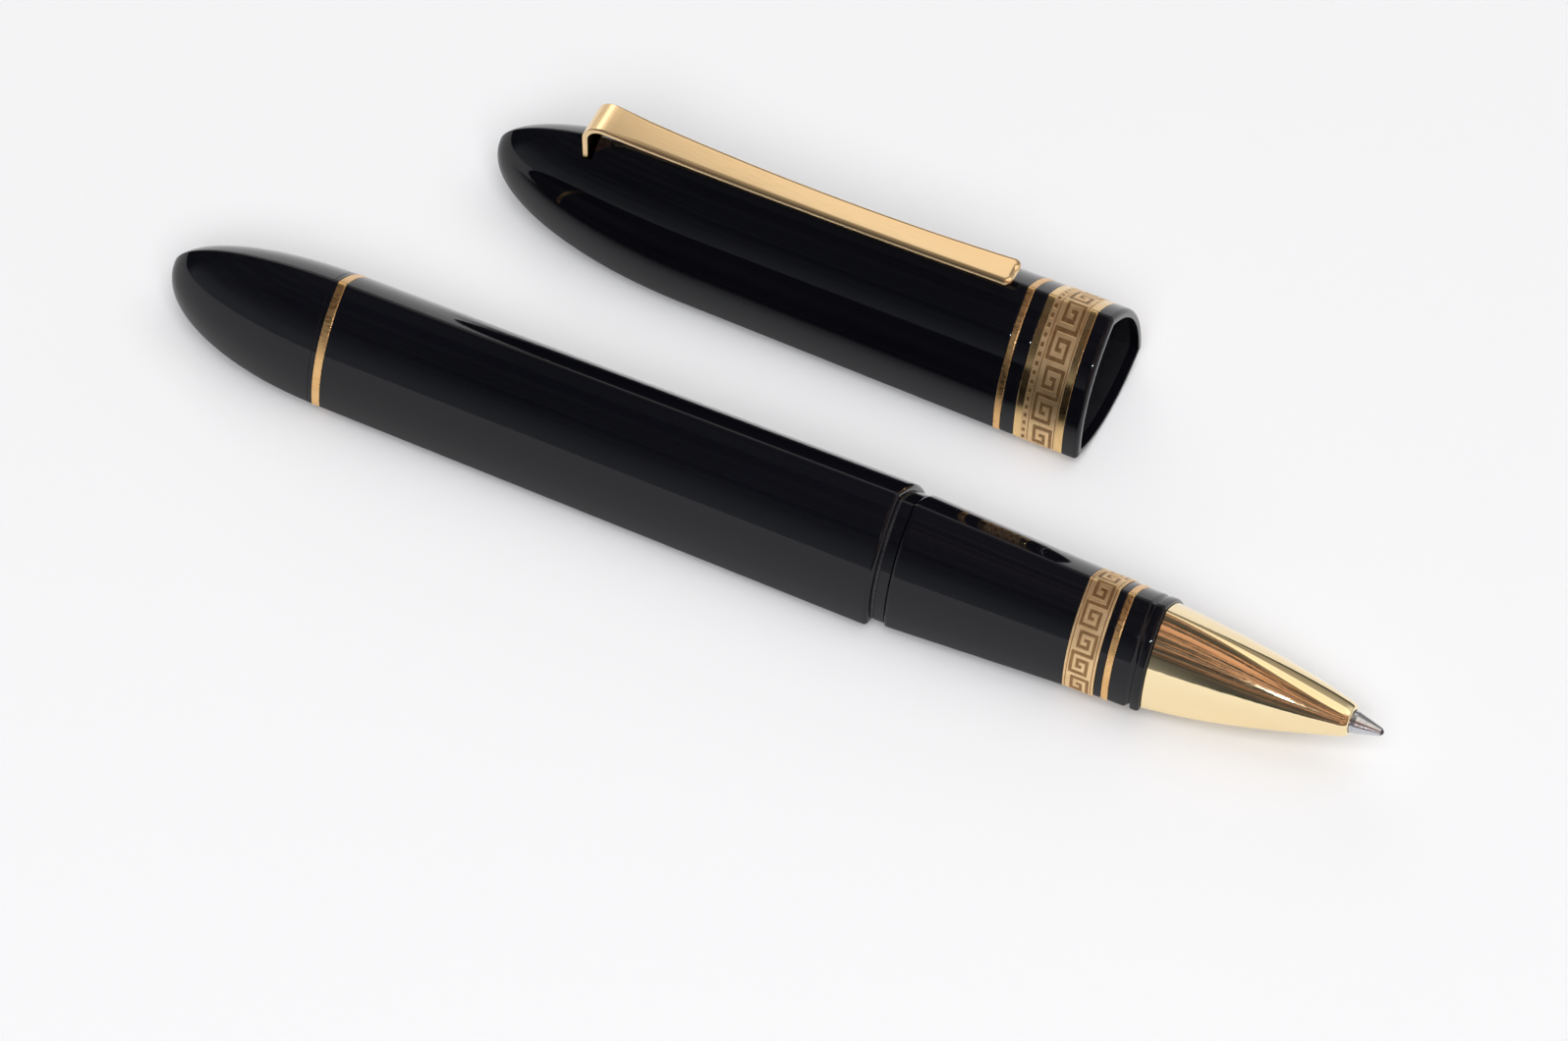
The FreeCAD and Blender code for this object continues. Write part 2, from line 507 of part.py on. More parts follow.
cap_shell = new_part("cap_shell", SHELL_REAR, CAP_AXIS)
loft(cap_shell, "dome", dome_sections("Dims.cap_rear_width", "Dims.cap_dome_length"))
loft(cap_shell, "taper", (("Dims.cap_rear_width", "0"),
                          ("Dims.cap_front_width", "Dims.cap_taper_length")))
prism(cap_shell, "spigot", "Dims.cap_spigot_width", f"{RINGS} + Dims.spigot_in_lip",
      "Dims.cap_taper_length")
loft(cap_shell, "cavity", (("Dims.cap_bore_width", "0"),
                           ("Dims.cap_mouth_width", MOUTH_DISTANCE)), cut=True)
loft(cap_shell, "cavity_end", (("Dims.cap_end_width", "-Dims.cap_end_depth"),
                               ("Dims.cap_bore_width", "0")), cut=True)
bore(cap_shell, "anchor_bore", f"{ANCHOR_REAR} - ({SHELL_REAR}) - Dims.slot_gap",
     "-Dims.cap_end_depth + Dims.slot_gap", "Dims.anchor_diameter")
slot(cap_shell, "clip_slot", f"{LEG} - ({SHELL_REAR})", f"{LEG_FOOT} - Dims.slot_gap",
     "Dims.cap_rear_width")

INNER_SLOPE = f"((Dims.cap_mouth_width - Dims.cap_bore_width) / {MOUTH_DISTANCE})"
LINER_ENDS = ("0", "Dims.liner_length")
cap_liner = new_part("cap_liner", SHELL_REAR, CAP_AXIS)
loft(cap_liner, "sleeve", [
    (f"(Dims.cap_bore_width + {INNER_SLOPE} * {at} - 2 * Dims.liner_gap)", at)
    for at in LINER_ENDS])
loft(cap_liner, "sleeve_bore", [
    (f"(Dims.cap_bore_width + {INNER_SLOPE} * {at} - 2 * Dims.liner_wall)", at)
    for at in LINER_ENDS], cut=True)

clip_anchor = new_part("clip_anchor", ANCHOR_REAR, CAP_AXIS)
turned(clip_anchor, "plug", tube_outline("0", "Dims.anchor_length", "Dims.anchor_diameter"))
bore(clip_anchor, "screw_hole", "Dims.anchor_length - Dims.clip_screw_length",
     "Dims.anchor_length", "Dims.clip_screw_diameter")
slot(clip_anchor, "leg_slot", "Dims.anchor_behind_leg", f"{LEG_FOOT} - Dims.slot_gap",
     "Dims.anchor_diameter")

clip_screw = new_part("clip_screw", f"{ANCHOR_REAR} + Dims.anchor_length", CAP_AXIS)
turned(clip_screw, "shank", tube_outline("-Dims.clip_screw_length", "0",
                                         "Dims.clip_screw_diameter"))
turned(clip_screw, "head", (
    ("0", "0"), ("0", "Dims.screw_head_radius"), ("Dims.screw_head_rim", "Dims.screw_head_radius"),
    ("Dims.screw_head_height", "Dims.screw_head_top_radius"), ("Dims.screw_head_height", "0")))

for label, width, length in (("cap_thin_ring", "cap_ring_width", "cap_ring_length"),
                             ("cap_spacer_ring", "cap_front_width", "cap_spacer_length"),
                             ("cap_band", "cap_band_width", "cap_band_length")):
    ring = new_part(label, cap_rear(length), CAP_AXIS)
    prism(ring, label + "_prism", "Dims." + width, "Dims." + length)
    prism(ring, label + "_bore", "Dims.cap_spigot_width", "Dims." + length, cut=True)

cap_lip_ring = new_part("cap_lip_ring", cap_rear("lip_length"), CAP_AXIS)
LIP_FRONT = "Dims.lip_length - Dims.rim_radius"
prism(cap_lip_ring, "lip", "Dims.cap_band_width", LIP_FRONT)
bevelled_end(cap_lip_ring, "lip_front", "Dims.cap_band_width", LIP_FRONT, "Dims.lip_length")
prism(cap_lip_ring, "mouth", "Dims.cap_mouth_width", "Dims.lip_length", cut=True)
prism(cap_lip_ring, "recess", "Dims.cap_spigot_width", "Dims.spigot_in_lip", cut=True)

# ---------------------------------------------------------------- clip
# a bent strip: a leg through the cap's ridge, a tight bend, and a long bar that sags gently
SAG_MIDDLE = "(Dims.clip_reach / 2 + Dims.clip_bend_radius)"
SAG_CENTRE = "Dims.clip_height + Dims.clip_curve_radius"
thickness, bend, curve, reach, foot = [value(expression) for expression in (
    "Dims.clip_thickness", "Dims.clip_bend_radius", "Dims.clip_curve_radius", "Dims.clip_reach",
    LEG_FOOT)]
half = thickness / 2
sag_centre = Vector(value(SAG_MIDDLE), value(SAG_CENTRE), 0)
bend_x = half + bend
bend_centre = Vector(bend_x, sag_centre.y - math.sqrt((curve + thickness + bend) ** 2
                                                      - (sag_centre.x - bend_x) ** 2), 0)
bar_start = math.atan2(bend_centre.y - sag_centre.y, bend_centre.x - sag_centre.x)


def arc_between(centre, size, first, last):
    return Part.ArcOfCircle(Part.Circle(centre, Vector(0, 0, 1), size), first, last)


def bar_arc(size):
    return arc_between(sag_centre, size, bar_start,
                       math.asin((reach - sag_centre.x) / size) - math.pi / 2)


clip = new_part("clip", LEG, CAP_AXIS)
side = new_sketch(clip, "side_outline", "XZ_Plane")
upper, lower = bar_arc(curve), bar_arc(curve + thickness)
side.addGeometry([
    Part.LineSegment(Vector(-half, foot, 0), Vector(half, foot, 0)),
    Part.LineSegment(Vector(half, foot, 0), Vector(half, bend_centre.y, 0)),
    arc_between(bend_centre, bend, bar_start + math.pi, math.pi),
    lower,
    Part.LineSegment(lower.EndPoint, upper.EndPoint),
    upper,
    arc_between(bend_centre, bend + thickness, bar_start + math.pi, math.pi),
    Part.LineSegment(Vector(-half, bend_centre.y, 0), Vector(-half, foot, 0)),
])
side.addConstraint([
    Constraint("Coincident", 0, 2, 1, 1), Constraint("Tangent", 1, 2, 2, 2),
    Constraint("Tangent", 2, 1, 3, 1), Constraint("Coincident", 3, 2, 4, 1),
    Constraint("Coincident", 4, 2, 5, 2), Constraint("Tangent", 5, 1, 6, 1),
    Constraint("Tangent", 6, 2, 7, 1), Constraint("Coincident", 7, 2, 0, 1),
    Constraint("Coincident", 2, 3, 6, 3), Constraint("Coincident", 3, 3, 5, 3),
    Constraint("Vertical", 1), Constraint("Vertical", 7), Constraint("Horizontal", 0),
    Constraint("Vertical", 4),
])
drive(side, Constraint("Radius", 2, bend), "bend_radius", "Dims.clip_bend_radius")
drive(side, Constraint("Radius", 5, curve), "upper_curve", "Dims.clip_curve_radius")
drive(side, Constraint("Radius", 3, curve + thickness), "lower_curve",
      "Dims.clip_curve_radius + Dims.clip_thickness")
drive(side, Constraint("DistanceX", -1, 1, 5, 3, sag_centre.x), "middle_x", SAG_MIDDLE)
drive(side, Constraint("DistanceY", -1, 1, 5, 3, sag_centre.y), "middle_z", SAG_CENTRE)
drive(side, Constraint("DistanceX", -1, 1, 1, 1, half), "leg_front", "Dims.clip_thickness / 2")
drive(side, Constraint("DistanceY", -1, 1, 0, 1, foot), "leg_foot", LEG_FOOT)
drive(side, Constraint("DistanceX", -1, 1, 4, 1, reach), "bar_end", "Dims.clip_reach")
bar = clip.newObject("PartDesign::Pad", "bar")
bar.Profile = side
bar.Midplane = True
bar.setExpression("Length", "Dims.clip_width")

# the bar narrows to its waist and widens again: one long arc cuts into each side
waist_radius = value("Dims.clip_waist_radius")
for sign, name in ((1, "left"), (-1, "right")):
    cutter = new_sketch(clip, name + "_waist_outline", "XY_Plane")
    middle = Vector(value("Dims.clip_waist_at"),
                    sign * (value("Dims.clip_waist") / 2 + waist_radius), 0)
    span = math.acos((waist_radius - value("Dims.clip_waist_chord")) / waist_radius)
    towards = -sign * math.pi / 2
    bite = arc_between(middle, waist_radius, towards - span, towards + span)
    cutter.addGeometry([bite, Part.LineSegment(bite.EndPoint, bite.StartPoint)])
    cutter.addConstraint([Constraint("Coincident", 0, 2, 1, 1),
                          Constraint("Coincident", 1, 2, 0, 1), Constraint("Horizontal", 1)])
    drive(cutter, Constraint("Radius", 0, waist_radius), "waist_curve", "Dims.clip_waist_radius")
    drive(cutter, Constraint("DistanceX", -1, 1, 0, 3, middle.x), "waist_x", "Dims.clip_waist_at")
    drive(cutter, Constraint("DistanceY", -1, 1, 0, 3, middle.y), "waist_y",
          f"{sign} * (Dims.clip_waist / 2 + Dims.clip_waist_radius)")
    drive(cutter, Constraint("DistanceY", -1, 1, 0, 1, bite.StartPoint.y), "chord_y",
          f"{sign} * (Dims.clip_waist / 2 + Dims.clip_waist_chord)")
    cut = clip.newObject("PartDesign::Pocket", name + "_waist")
    cut.Profile = cutter
    cut.Reversed = True
    cut.setExpression("Length", "2 * Dims.clip_height")

doc.recompute()
bar_body = clip.Tip
corner_edges = [f"Edge{number}" for number, edge in enumerate(bar_body.Shape.Edges, start=1)
                if abs(edge.BoundBox.XMin - reach) < 1e-5 and edge.BoundBox.YLength < 1e-5
                and edge.BoundBox.XLength < 1e-5]
end_corners = clip.newObject("PartDesign::Fillet", "end_corners")
end_corners.Base = (bar_body, corner_edges)
end_corners.setExpression("Radius", "Dims.clip_end_radius")

# ---------------------------------------------------------------- checks and export
doc.recompute()
failed = [item.Name for item in doc.Objects if "Invalid" in item.State or "Error" in item.State]
if failed:
    raise RuntimeError("not built: " + ", ".join(failed))
for item in parts:
    shape = item.Shape
    if shape.isNull() or not shape.isValid() or len(shape.Solids) != 1:
        raise RuntimeError(f"{item.Label} is not one valid solid")

os.makedirs("parts", exist_ok=True)
whole = FreeCAD.BoundBox()
for item in parts:
    item.Shape.exportStep(os.path.join("parts", item.Label + ".step"))
    box = item.Shape.optimalBoundingBox()
    whole.add(box)
    print(f"{item.Label:20s} {item.Shape.Volume:9.2f} mm3   "
          f"X {box.XMin:7.2f} {box.XMax:7.2f}   Y {box.YMin:7.2f} {box.YMax:7.2f}   "
          f"Z {box.ZMin:6.2f} {box.ZMax:6.2f}")
print("whole", whole)
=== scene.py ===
import math
from functools import reduce

import bmesh
import bpy
import numpy as np
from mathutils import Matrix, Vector


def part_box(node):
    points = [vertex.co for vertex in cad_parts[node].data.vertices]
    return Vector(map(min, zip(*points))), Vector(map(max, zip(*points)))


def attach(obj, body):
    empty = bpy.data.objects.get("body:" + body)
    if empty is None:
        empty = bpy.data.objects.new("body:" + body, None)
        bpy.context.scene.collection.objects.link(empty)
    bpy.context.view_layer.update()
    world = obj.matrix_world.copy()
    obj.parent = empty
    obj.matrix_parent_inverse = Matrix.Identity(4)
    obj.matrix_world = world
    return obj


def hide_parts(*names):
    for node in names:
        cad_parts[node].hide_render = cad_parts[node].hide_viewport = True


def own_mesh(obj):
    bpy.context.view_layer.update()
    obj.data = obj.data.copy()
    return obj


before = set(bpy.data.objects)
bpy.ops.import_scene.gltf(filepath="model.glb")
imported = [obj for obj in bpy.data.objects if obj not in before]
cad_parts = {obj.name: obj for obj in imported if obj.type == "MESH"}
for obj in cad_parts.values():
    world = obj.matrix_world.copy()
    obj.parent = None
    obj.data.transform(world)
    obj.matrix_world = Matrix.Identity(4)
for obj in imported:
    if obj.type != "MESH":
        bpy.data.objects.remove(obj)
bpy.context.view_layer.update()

MM = 0.001


# ------------------------------------------------------------------ places and sizes from the frame
def rear(node):
    """X of a CAD node's end towards the tail."""
    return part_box(node)[0].x


def front(node):
    """X of a CAD node's end towards the writing tip or the cap's mouth."""
    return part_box(node)[1].x


def width(node):
    """A piece's width across the pen, the same in every direction for a Reuleaux section."""
    low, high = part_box(node)
    return high.y - low.y


RIDGE = 0.4 * MM    # radius of the rounded ridges


def resting_height(section_width):
    """Height of a section's centre when it rests on one face."""
    return (section_width - RIDGE) - (section_width - 2 * RIDGE) / math.sqrt(3)


def axis_of(node):
    """Y and Z of the axis of a rounded triangle that lies along X, resting on one face."""
    low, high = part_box(node)
    return np.array(((low.y + high.y) / 2, resting_height(high.y - low.y)))


PEN = axis_of("barrel")
CAP = axis_of("cap_band")

# ------------------------------------------------------------------ rounded Reuleaux sections
FACE_STEPS, CORNER_STEPS = 40, 10


def default_steps():
    """(arc number, share of that arc) for every point of a plain ring, whose arcs are faces and
    corners in turn."""
    steps = []
    for arc in range(6):
        count = (FACE_STEPS, CORNER_STEPS)[arc % 2]
        steps += [(arc, step / count) for step in range(count)]
    return np.array(steps)


STEPS = default_steps()
CIRCLE_GUIDE = 10 * MM    # the rounded triangle that sets the directions of a circle's points


def section(section_width, corner, steps=STEPS):
    """Points round the section and the outward normals there, as offsets in Y and Z.  Each arc is
    a centre, a radius and the angle in degrees where it starts, and turns 60 degrees."""
    side = section_width - 2 * corner
    low = -side / (2 * math.sqrt(3))
    near, top, far = (-side / 2, low), (0, -2 * low), (side / 2, low)
    big = side + corner
    arcs = np.array([(*top, big, 240), (*far, corner, 300), (*near, big, 0),
                     (*top, corner, 60), (*far, big, 120), (*near, corner, 180)])
    chosen = arcs[steps[:, 0].astype(int)]
    angle = np.radians(chosen[:, 3] + 60 * steps[:, 1])
    normals = np.stack((np.cos(angle), np.sin(angle)), axis=1)
    return chosen[:, :2] + normals * chosen[:, 2:3], normals


def steps_by_length(section_width, corner, distances):
    """The steps that lie at these distances round a section of that width."""
    lengths = np.array([section_width - corner, corner] * 3) * math.pi / 3
    ends = np.cumsum(lengths)
    distances = np.mod(distances, ends[-1])
    arc = np.minimum(np.searchsorted(ends, distances, side="right"), 5)
    return np.stack((arc, (distances - (ends - lengths)[arc]) / lengths[arc]), axis=1)


def ring(centre, x, section_width, corner=RIDGE, steps=STEPS, sink=0.0):
    """The points of a section at x, moved in by sink, which is one number or one for each."""
    points, normals = section(section_width, corner, steps)
    points = points - normals * np.reshape(sink, (-1, 1)) + centre
    return np.column_stack((np.full(len(points), x), points))


def circle(centre, x, diameter, steps=STEPS):
    """A round ring whose points face those of a rounded triangle."""
    points, _ = section(CIRCLE_GUIDE, RIDGE, steps)
    points = points / np.linalg.norm(points, axis=1, keepdims=True) * diameter / 2 + centre
    return np.column_stack((np.full(len(points), x), points))


RIM_STEPS, DOME_STEPS = 6, 48
RIM_RUN = 1.3    # where a rim's first ring lies, in radii behind the end face
POLE_SHARE = 0.004    # how wide a dome's first ring is, as a share of its base


def rim(centre, x, section_width, radius, way=1, count=RIM_STEPS, steps=STEPS):
    """Rings that round the edge of an end face at x, whose outside points towards way along X."""
    rings = [ring(centre, x - way * RIM_RUN * radius, section_width, steps=steps)]
    for index in range(count + 1):
        turn = math.pi / 2 * index / count
        rings.append(ring(centre, x - way * radius * (1 - math.sin(turn)), section_width,
                          steps=steps, sink=radius * (1 - math.cos(turn))))
    return rings


def dome(centre, base, length, across, lead=0.0):
    """Rings of a closed end towards -X, from the pole to the base, along a quarter of an ellipse.
    lead moves the ellipse's middle forwards, so that the end meets its base at a slope."""
    semi_axis = length + lead
    first = math.asin(lead / semi_axis)
    rings = []
    for index in range(DOME_STEPS, -1, -1):
        turn = first + (math.pi / 2 - first) * index / DOME_STEPS
        share = max(math.cos(turn), POLE_SHARE)
        rings.append(ring(centre, base + lead - semi_axis * math.sin(turn), across * share,
                          RIDGE * share))
    return rings


# ------------------------------------------------------------------ meshes
SHARP_ANGLE = math.radians(32)


def link(name, mesh, body, materials, nodes):
    """A visible piece that rides on a body and takes the place of CAD nodes."""
    piece = bpy.data.objects.new(name, mesh)
    bpy.context.scene.collection.objects.link(piece)
    for material in materials:
        mesh.materials.append(material)
    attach(piece, body)
    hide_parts(*nodes)
    return piece


def smooth(mesh):
    """Smooth shading that keeps edges sharper than SHARP_ANGLE crisp."""
    mesh.shade_smooth()
    mesh.set_sharp_from_angle(angle=SHARP_ANGLE)


def skin(name, rings, body, materials, nodes, loop=False, fans=(False, False), sunk=None,
         zones=None):
    """A surface through rings of equally many points.  loop joins the last ring to the first and
    fans close the first and last ring.  zones gives the material of each row of faces; faces
    whose points are all sunk take material 1."""
    count = len(rings[0])
    pairs = len(rings) if loop else len(rings) - 1
    points = [tuple(point) for each in rings for point in each]
    faces, finishes = [], []
    for row in range(pairs):
        low, high = row * count, (row + 1) % len(rings) * count
        for column in range(count):
            after = (column + 1) % count
            face = (low + column, low + after, high + after, high + column)
            faces.append(face)
            deep = sunk is not None and all(sunk[corner // count][corner % count]
                                            for corner in face)
            finishes.append(1 if deep else zones[row] if zones else 0)
    for wanted, row, turn in zip(fans, (0, len(rings) - 1), (-1, 1)):
        if wanted:
            points.append(tuple(np.mean(rings[row], axis=0)))
            for column in range(count):
                pair = (row * count + column, row * count + (column + 1) % count)
                faces.append((*pair[::turn], len(points) - 1))
                finishes.append(0)
    mesh = bpy.data.meshes.new(name)
    mesh.from_pydata(points, [], faces)
    mesh.polygons.foreach_set("material_index", np.array(finishes, dtype=np.int32))
    fix = bmesh.new()
    fix.from_mesh(mesh)
    bmesh.ops.recalc_face_normals(fix, faces=fix.faces)
    fix.to_mesh(mesh)
    fix.free()
    smooth(mesh)
    return link(name, mesh, body, materials, nodes)


def plain_ring(name, node, centre, body, material, bore, radius, ring_width=None):
    """A short straight ring with both rims rounded; bore makes its inner rings."""
    across = ring_width or width(node)
    skin(name, [
        *rim(centre, rear(node), across, radius=radius, way=-1)[::-1],
        *rim(centre, front(node), across, radius=radius),
        bore(front(node)), bore(rear(node)),
    ], body, [material], [node], loop=True)


def pen_bore(diameter):
    """What makes the round inner rings of a piece on the pen."""
    return lambda x, steps=STEPS: circle(PEN, x, diameter, steps)


def cut_box(piece, low, high, material):
    """Cuts an upright opening, with walls of that material, through a closed piece."""
    cutter_mesh = bpy.data.meshes.new("cutter")
    box = bmesh.new()
    bmesh.ops.create_cube(box, size=1.0)
    for vertex in box.verts:
        vertex.co = [(a + b) / 2 + (b - a) * share for a, b, share in zip(low, high, vertex.co)]
    box.to_mesh(cutter_mesh)
    box.free()
    cutter_mesh.materials.append(material)
    cutter = bpy.data.objects.new("cutter", cutter_mesh)
    bpy.context.scene.collection.objects.link(cutter)
    cut = piece.modifiers.new("cut", "BOOLEAN")
    cut.object, cut.solver = cutter, "EXACT"
    bpy.context.view_layer.update()
    whole = piece.evaluated_get(bpy.context.evaluated_depsgraph_get())
    piece.data = bpy.data.meshes.new_from_object(whole)
    piece.modifiers.clear()
    bpy.data.objects.remove(cutter)
    smooth(piece.data)


# ------------------------------------------------------------------ materials
def tree(name):
    """A new material with its nodes, its links and its main shader."""
    material = bpy.data.materials.new(name)
    material.use_nodes = True
    nodes, links = material.node_tree.nodes, material.node_tree.links
    return material, nodes, links, nodes["Principled BSDF"]


def noise(nodes, links, scale, stretch, detail, kind="Object"):
    """A noise texture stretched along the axes, in the object's own space and metres, or in the
    kind of coordinates that is named."""
    place = nodes.new("ShaderNodeTexCoord")
    mapping = nodes.new("ShaderNodeMapping")
    mapping.inputs["Scale"].default_value = stretch
    texture = nodes.new("ShaderNodeTexNoise")
    texture.inputs["Scale"].default_value = scale
    texture.inputs["Detail"].default_value = detail
    links.new(place.outputs[kind], mapping.inputs["Vector"])
    links.new(mapping.outputs["Vector"], texture.inputs["Vector"])
    return texture.outputs["Fac"]


def spread(nodes, links, source, low, high, start=0.35, end=0.65):
    """source from start to end becomes a number from low to high."""
    node = nodes.new("ShaderNodeMapRange")
    node.inputs["From Min"].default_value = start
    node.inputs["From Max"].default_value = end
    node.inputs["To Min"].default_value = low
    node.inputs["To Max"].default_value = high
    links.new(source, node.inputs["Value"])
    return node.outputs["Result"]


def tinted(nodes, links, source, first, second):
    """source from 0 to 1 becomes a colour from first to second."""
    node = nodes.new("ShaderNodeMix")
    node.data_type = "RGBA"
    node.inputs["A"].default_value = (*first, 1)
    node.inputs["B"].default_value = (*second, 1)
    links.new(source, node.inputs["Factor"])
    return node.outputs["Result"]


PATCH_DETAIL, GRAIN_DETAIL, RELIEF_DEPTH = 3.0, 5.0, 0.02 * MM


def finish(name, colours, roughness, patch, grain, metallic=0.0, stretch=(1, 1, 1), bump=0.0,
           specular=0.5):
    """A surface whose colour varies in patches and whose roughness and relief vary in a finer
    grain.  patch and grain are the scales of those two noises, in cells a metre."""
    material, nodes, links, shader = tree(name)
    patches = noise(nodes, links, patch, stretch, PATCH_DETAIL)
    links.new(tinted(nodes, links, spread(nodes, links, patches, 0, 1), *colours),
              shader.inputs["Base Color"])
    fine = noise(nodes, links, grain, stretch, GRAIN_DETAIL)
    links.new(spread(nodes, links, fine, *roughness), shader.inputs["Roughness"])
    shader.inputs["Metallic"].default_value = metallic
    shader.inputs["Specular IOR Level"].default_value = specular
    if bump:
        relief = nodes.new("ShaderNodeBump")
        relief.inputs["Strength"].default_value = bump
        relief.inputs["Distance"].default_value = RELIEF_DEPTH
        links.new(fine, relief.inputs["Height"])
        links.new(relief.outputs["Normal"], shader.inputs["Normal"])
    return material


LACQUER = finish("lacquer", ((0.0020, 0.0022, 0.0036), (0.0034, 0.0036, 0.0056)), (0.03, 0.07),
                 patch=90.0, grain=2500.0, stretch=(0.15, 1, 1), specular=0.34)
GOLD = finish("gold", ((0.86, 0.54, 0.24), (0.78, 0.46, 0.19)), (0.24, 0.36), metallic=1.0,
              patch=500.0, grain=3000.0, stretch=(0.4, 1, 1), bump=0.2)
CLIP_GOLD = finish("clip_gold", ((0.92, 0.67, 0.38), (0.88, 0.61, 0.33)), (0.10, 0.18),
                   metallic=1.0, patch=200.0, grain=5000.0, stretch=(0.1, 1, 1))
NOSE_GOLD = finish("nose_gold", ((0.98, 0.81, 0.50), (0.95, 0.76, 0.45)), (0.03, 0.07),
                   metallic=1.0, patch=300.0, grain=6000.0, stretch=(0.05, 1, 1), bump=0.05)
BAND_GOLD = finish("band_gold", ((0.86, 0.60, 0.28), (0.78, 0.52, 0.24)), (0.12, 0.22),
                   metallic=1.0, patch=700.0, grain=5000.0, bump=0.1)
FIELD = finish("engraved_field", ((0.90, 0.65, 0.36), (0.80, 0.55, 0.29)), (0.36, 0.46),
               metallic=1.0, patch=900.0, grain=12000.0, bump=0.35)
# the engraving's cut lines: the same gold painted dark brown, which is painted shade in the cuts
RECESS_PAINTED_SHADE = finish("engraved_recess_painted_shade", ((0.30, 0.17, 0.075), (0.40, 0.24, 0.11)), (0.42, 0.55),
                metallic=1.0, patch=2000.0, grain=14000.0, bump=0.5)
BRASS = finish("machined_brass", ((0.80, 0.58, 0.27), (0.72, 0.50, 0.22)), (0.18, 0.32),
               metallic=1.0, patch=900.0, grain=9000.0, stretch=(6, 1, 1), bump=0.2)
STEEL = finish("turned_steel", ((0.62, 0.63, 0.66), (0.52, 0.53, 0.56)), (0.16, 0.28),
               metallic=1.0, patch=900.0, grain=9000.0, stretch=(6, 1, 1), bump=0.15)
CARBIDE = finish("carbide_ball", ((0.05, 0.05, 0.055), (0.08, 0.08, 0.09)), (0.15, 0.3),
                 metallic=1.0, patch=4000.0, grain=20000.0)
PALE_PLASTIC = finish("pale_plastic", ((0.80, 0.79, 0.75), (0.74, 0.73, 0.69)), (0.35, 0.5),
                      patch=300.0, grain=6000.0, bump=0.1)
DARK_PLASTIC = finish("dark_plastic", ((0.012, 0.012, 0.014), (0.02, 0.02, 0.022)), (0.2, 0.35),
                      patch=500.0, grain=7000.0, bump=0.15)
FELT = finish("inked_felt", ((0.02, 0.02, 0.03), (0.06, 0.06, 0.08)), (0.8, 0.95),
              patch=3000.0, grain=12000.0, bump=0.8)
INTERIOR = finish("cap_interior", ((0.008, 0.008, 0.010), (0.014, 0.014, 0.017)), (0.12, 0.25),
                  patch=250.0, grain=4000.0, stretch=(0.2, 1, 1), bump=0.1)

# ------------------------------------------------------------------ barrel and tail
barrel_width, tail_ring_width = width("barrel"), width("tail_ring")
insert_outer = width("barrel_insert")
BARREL_BORE, SHOULDER_ROUND, SHOULDER_STEPS = 9.0 * MM, 0.5 * MM, 10
skin("barrel_body", [
    *rim(PEN, rear("barrel"), tail_ring_width, radius=0.06 * MM, way=-1)[::-1],
    *rim(PEN, front("barrel"), barrel_width, radius=SHOULDER_ROUND, count=SHOULDER_STEPS),
    circle(PEN, front("barrel"), insert_outer),
    circle(PEN, rear("barrel_insert"), insert_outer),
    circle(PEN, rear("barrel_insert"), BARREL_BORE),
    circle(PEN, rear("barrel"), BARREL_BORE),
], "barrel", [LACQUER], ["barrel"], loop=True)


plain_ring("tail_gold_ring", "tail_ring", PEN, "barrel", GOLD, pen_bore(BARREL_BORE),
           radius=0.12 * MM)

# the bush shows as a thin black flange with a fine seam on each side
flange_front, flange_rear = rear("tail_ring"), front("tail_cap")
bush_rear, bush_front, tail_width = rear("tail_bush"), front("tail_bush"), width("tail_bush")
BUSH_OUTER, BUSH_END, BUSH_BEVEL = 8.4 * MM, 8.0 * MM, 0.2 * MM
BUSH_BORE, BUSH_FLOOR = 6.6 * MM, 1.25 * MM
skin("tail_flange", [
    circle(PEN, bush_rear, BUSH_END), circle(PEN, bush_rear + BUSH_BEVEL, BUSH_OUTER),
    circle(PEN, flange_rear, BUSH_OUTER),
    *rim(PEN, flange_rear, tail_width, radius=0.09 * MM, way=-1)[::-1],
    *rim(PEN, flange_front, tail_width, radius=0.05 * MM),
    circle(PEN, flange_front, BARREL_BORE), circle(PEN, bush_front, BARREL_BORE),
    circle(PEN, bush_front, BUSH_BORE), circle(PEN, bush_rear + BUSH_FLOOR, BUSH_BORE),
], "barrel", [LACQUER], ["tail_bush"], fans=(True, True))

tail_base, tail_length = front("tail_cap"), front("tail_cap") - rear("tail_cap")
TAIL_LEAD, TAIL_SEAM, TAIL_INSET, TAIL_BORE_DEPTH = 1.0 * MM, 0.05 * MM, 0.02 * MM, 8 * MM
skin("tail_dome", [
    *dome(PEN, tail_base - TAIL_SEAM, tail_length - TAIL_SEAM, tail_width, TAIL_LEAD),
    *rim(PEN, tail_base, tail_width - TAIL_INSET, radius=TAIL_SEAM)[1:],
    circle(PEN, tail_base, BUSH_OUTER), circle(PEN, tail_base - TAIL_BORE_DEPTH, BUSH_OUTER),
], "barrel", [LACQUER], ["tail_cap"], fans=(True, True))

# the spring behind the refill, which shortens as the refill is pressed back
WIRE_RADIUS, COIL_RADIUS = 0.25 * MM, 2.5 * MM
TURNS, TURN_STEPS, WIRE_STEPS = 8, 28, 12
spring_rear, spring_front = rear("refill_spring"), front("refill_spring")


def spring_rings():
    """Rings of the wire along the helix: its section lies across the turn."""
    count = TURNS * TURN_STEPS
    around = np.linspace(0, 2 * math.pi, WIRE_STEPS, endpoint=False)
    for index in range(count + 1):
        turn = math.pi / 2 + 2 * math.pi * index / TURN_STEPS
        x = (spring_rear + WIRE_RADIUS
             + (spring_front - spring_rear - 2 * WIRE_RADIUS) * index / count)
        reach = COIL_RADIUS + WIRE_RADIUS * np.cos(around)
        yield np.column_stack((x + WIRE_RADIUS * np.sin(around), PEN[0] + reach * math.cos(turn),
                               PEN[1] + reach * math.sin(turn)))


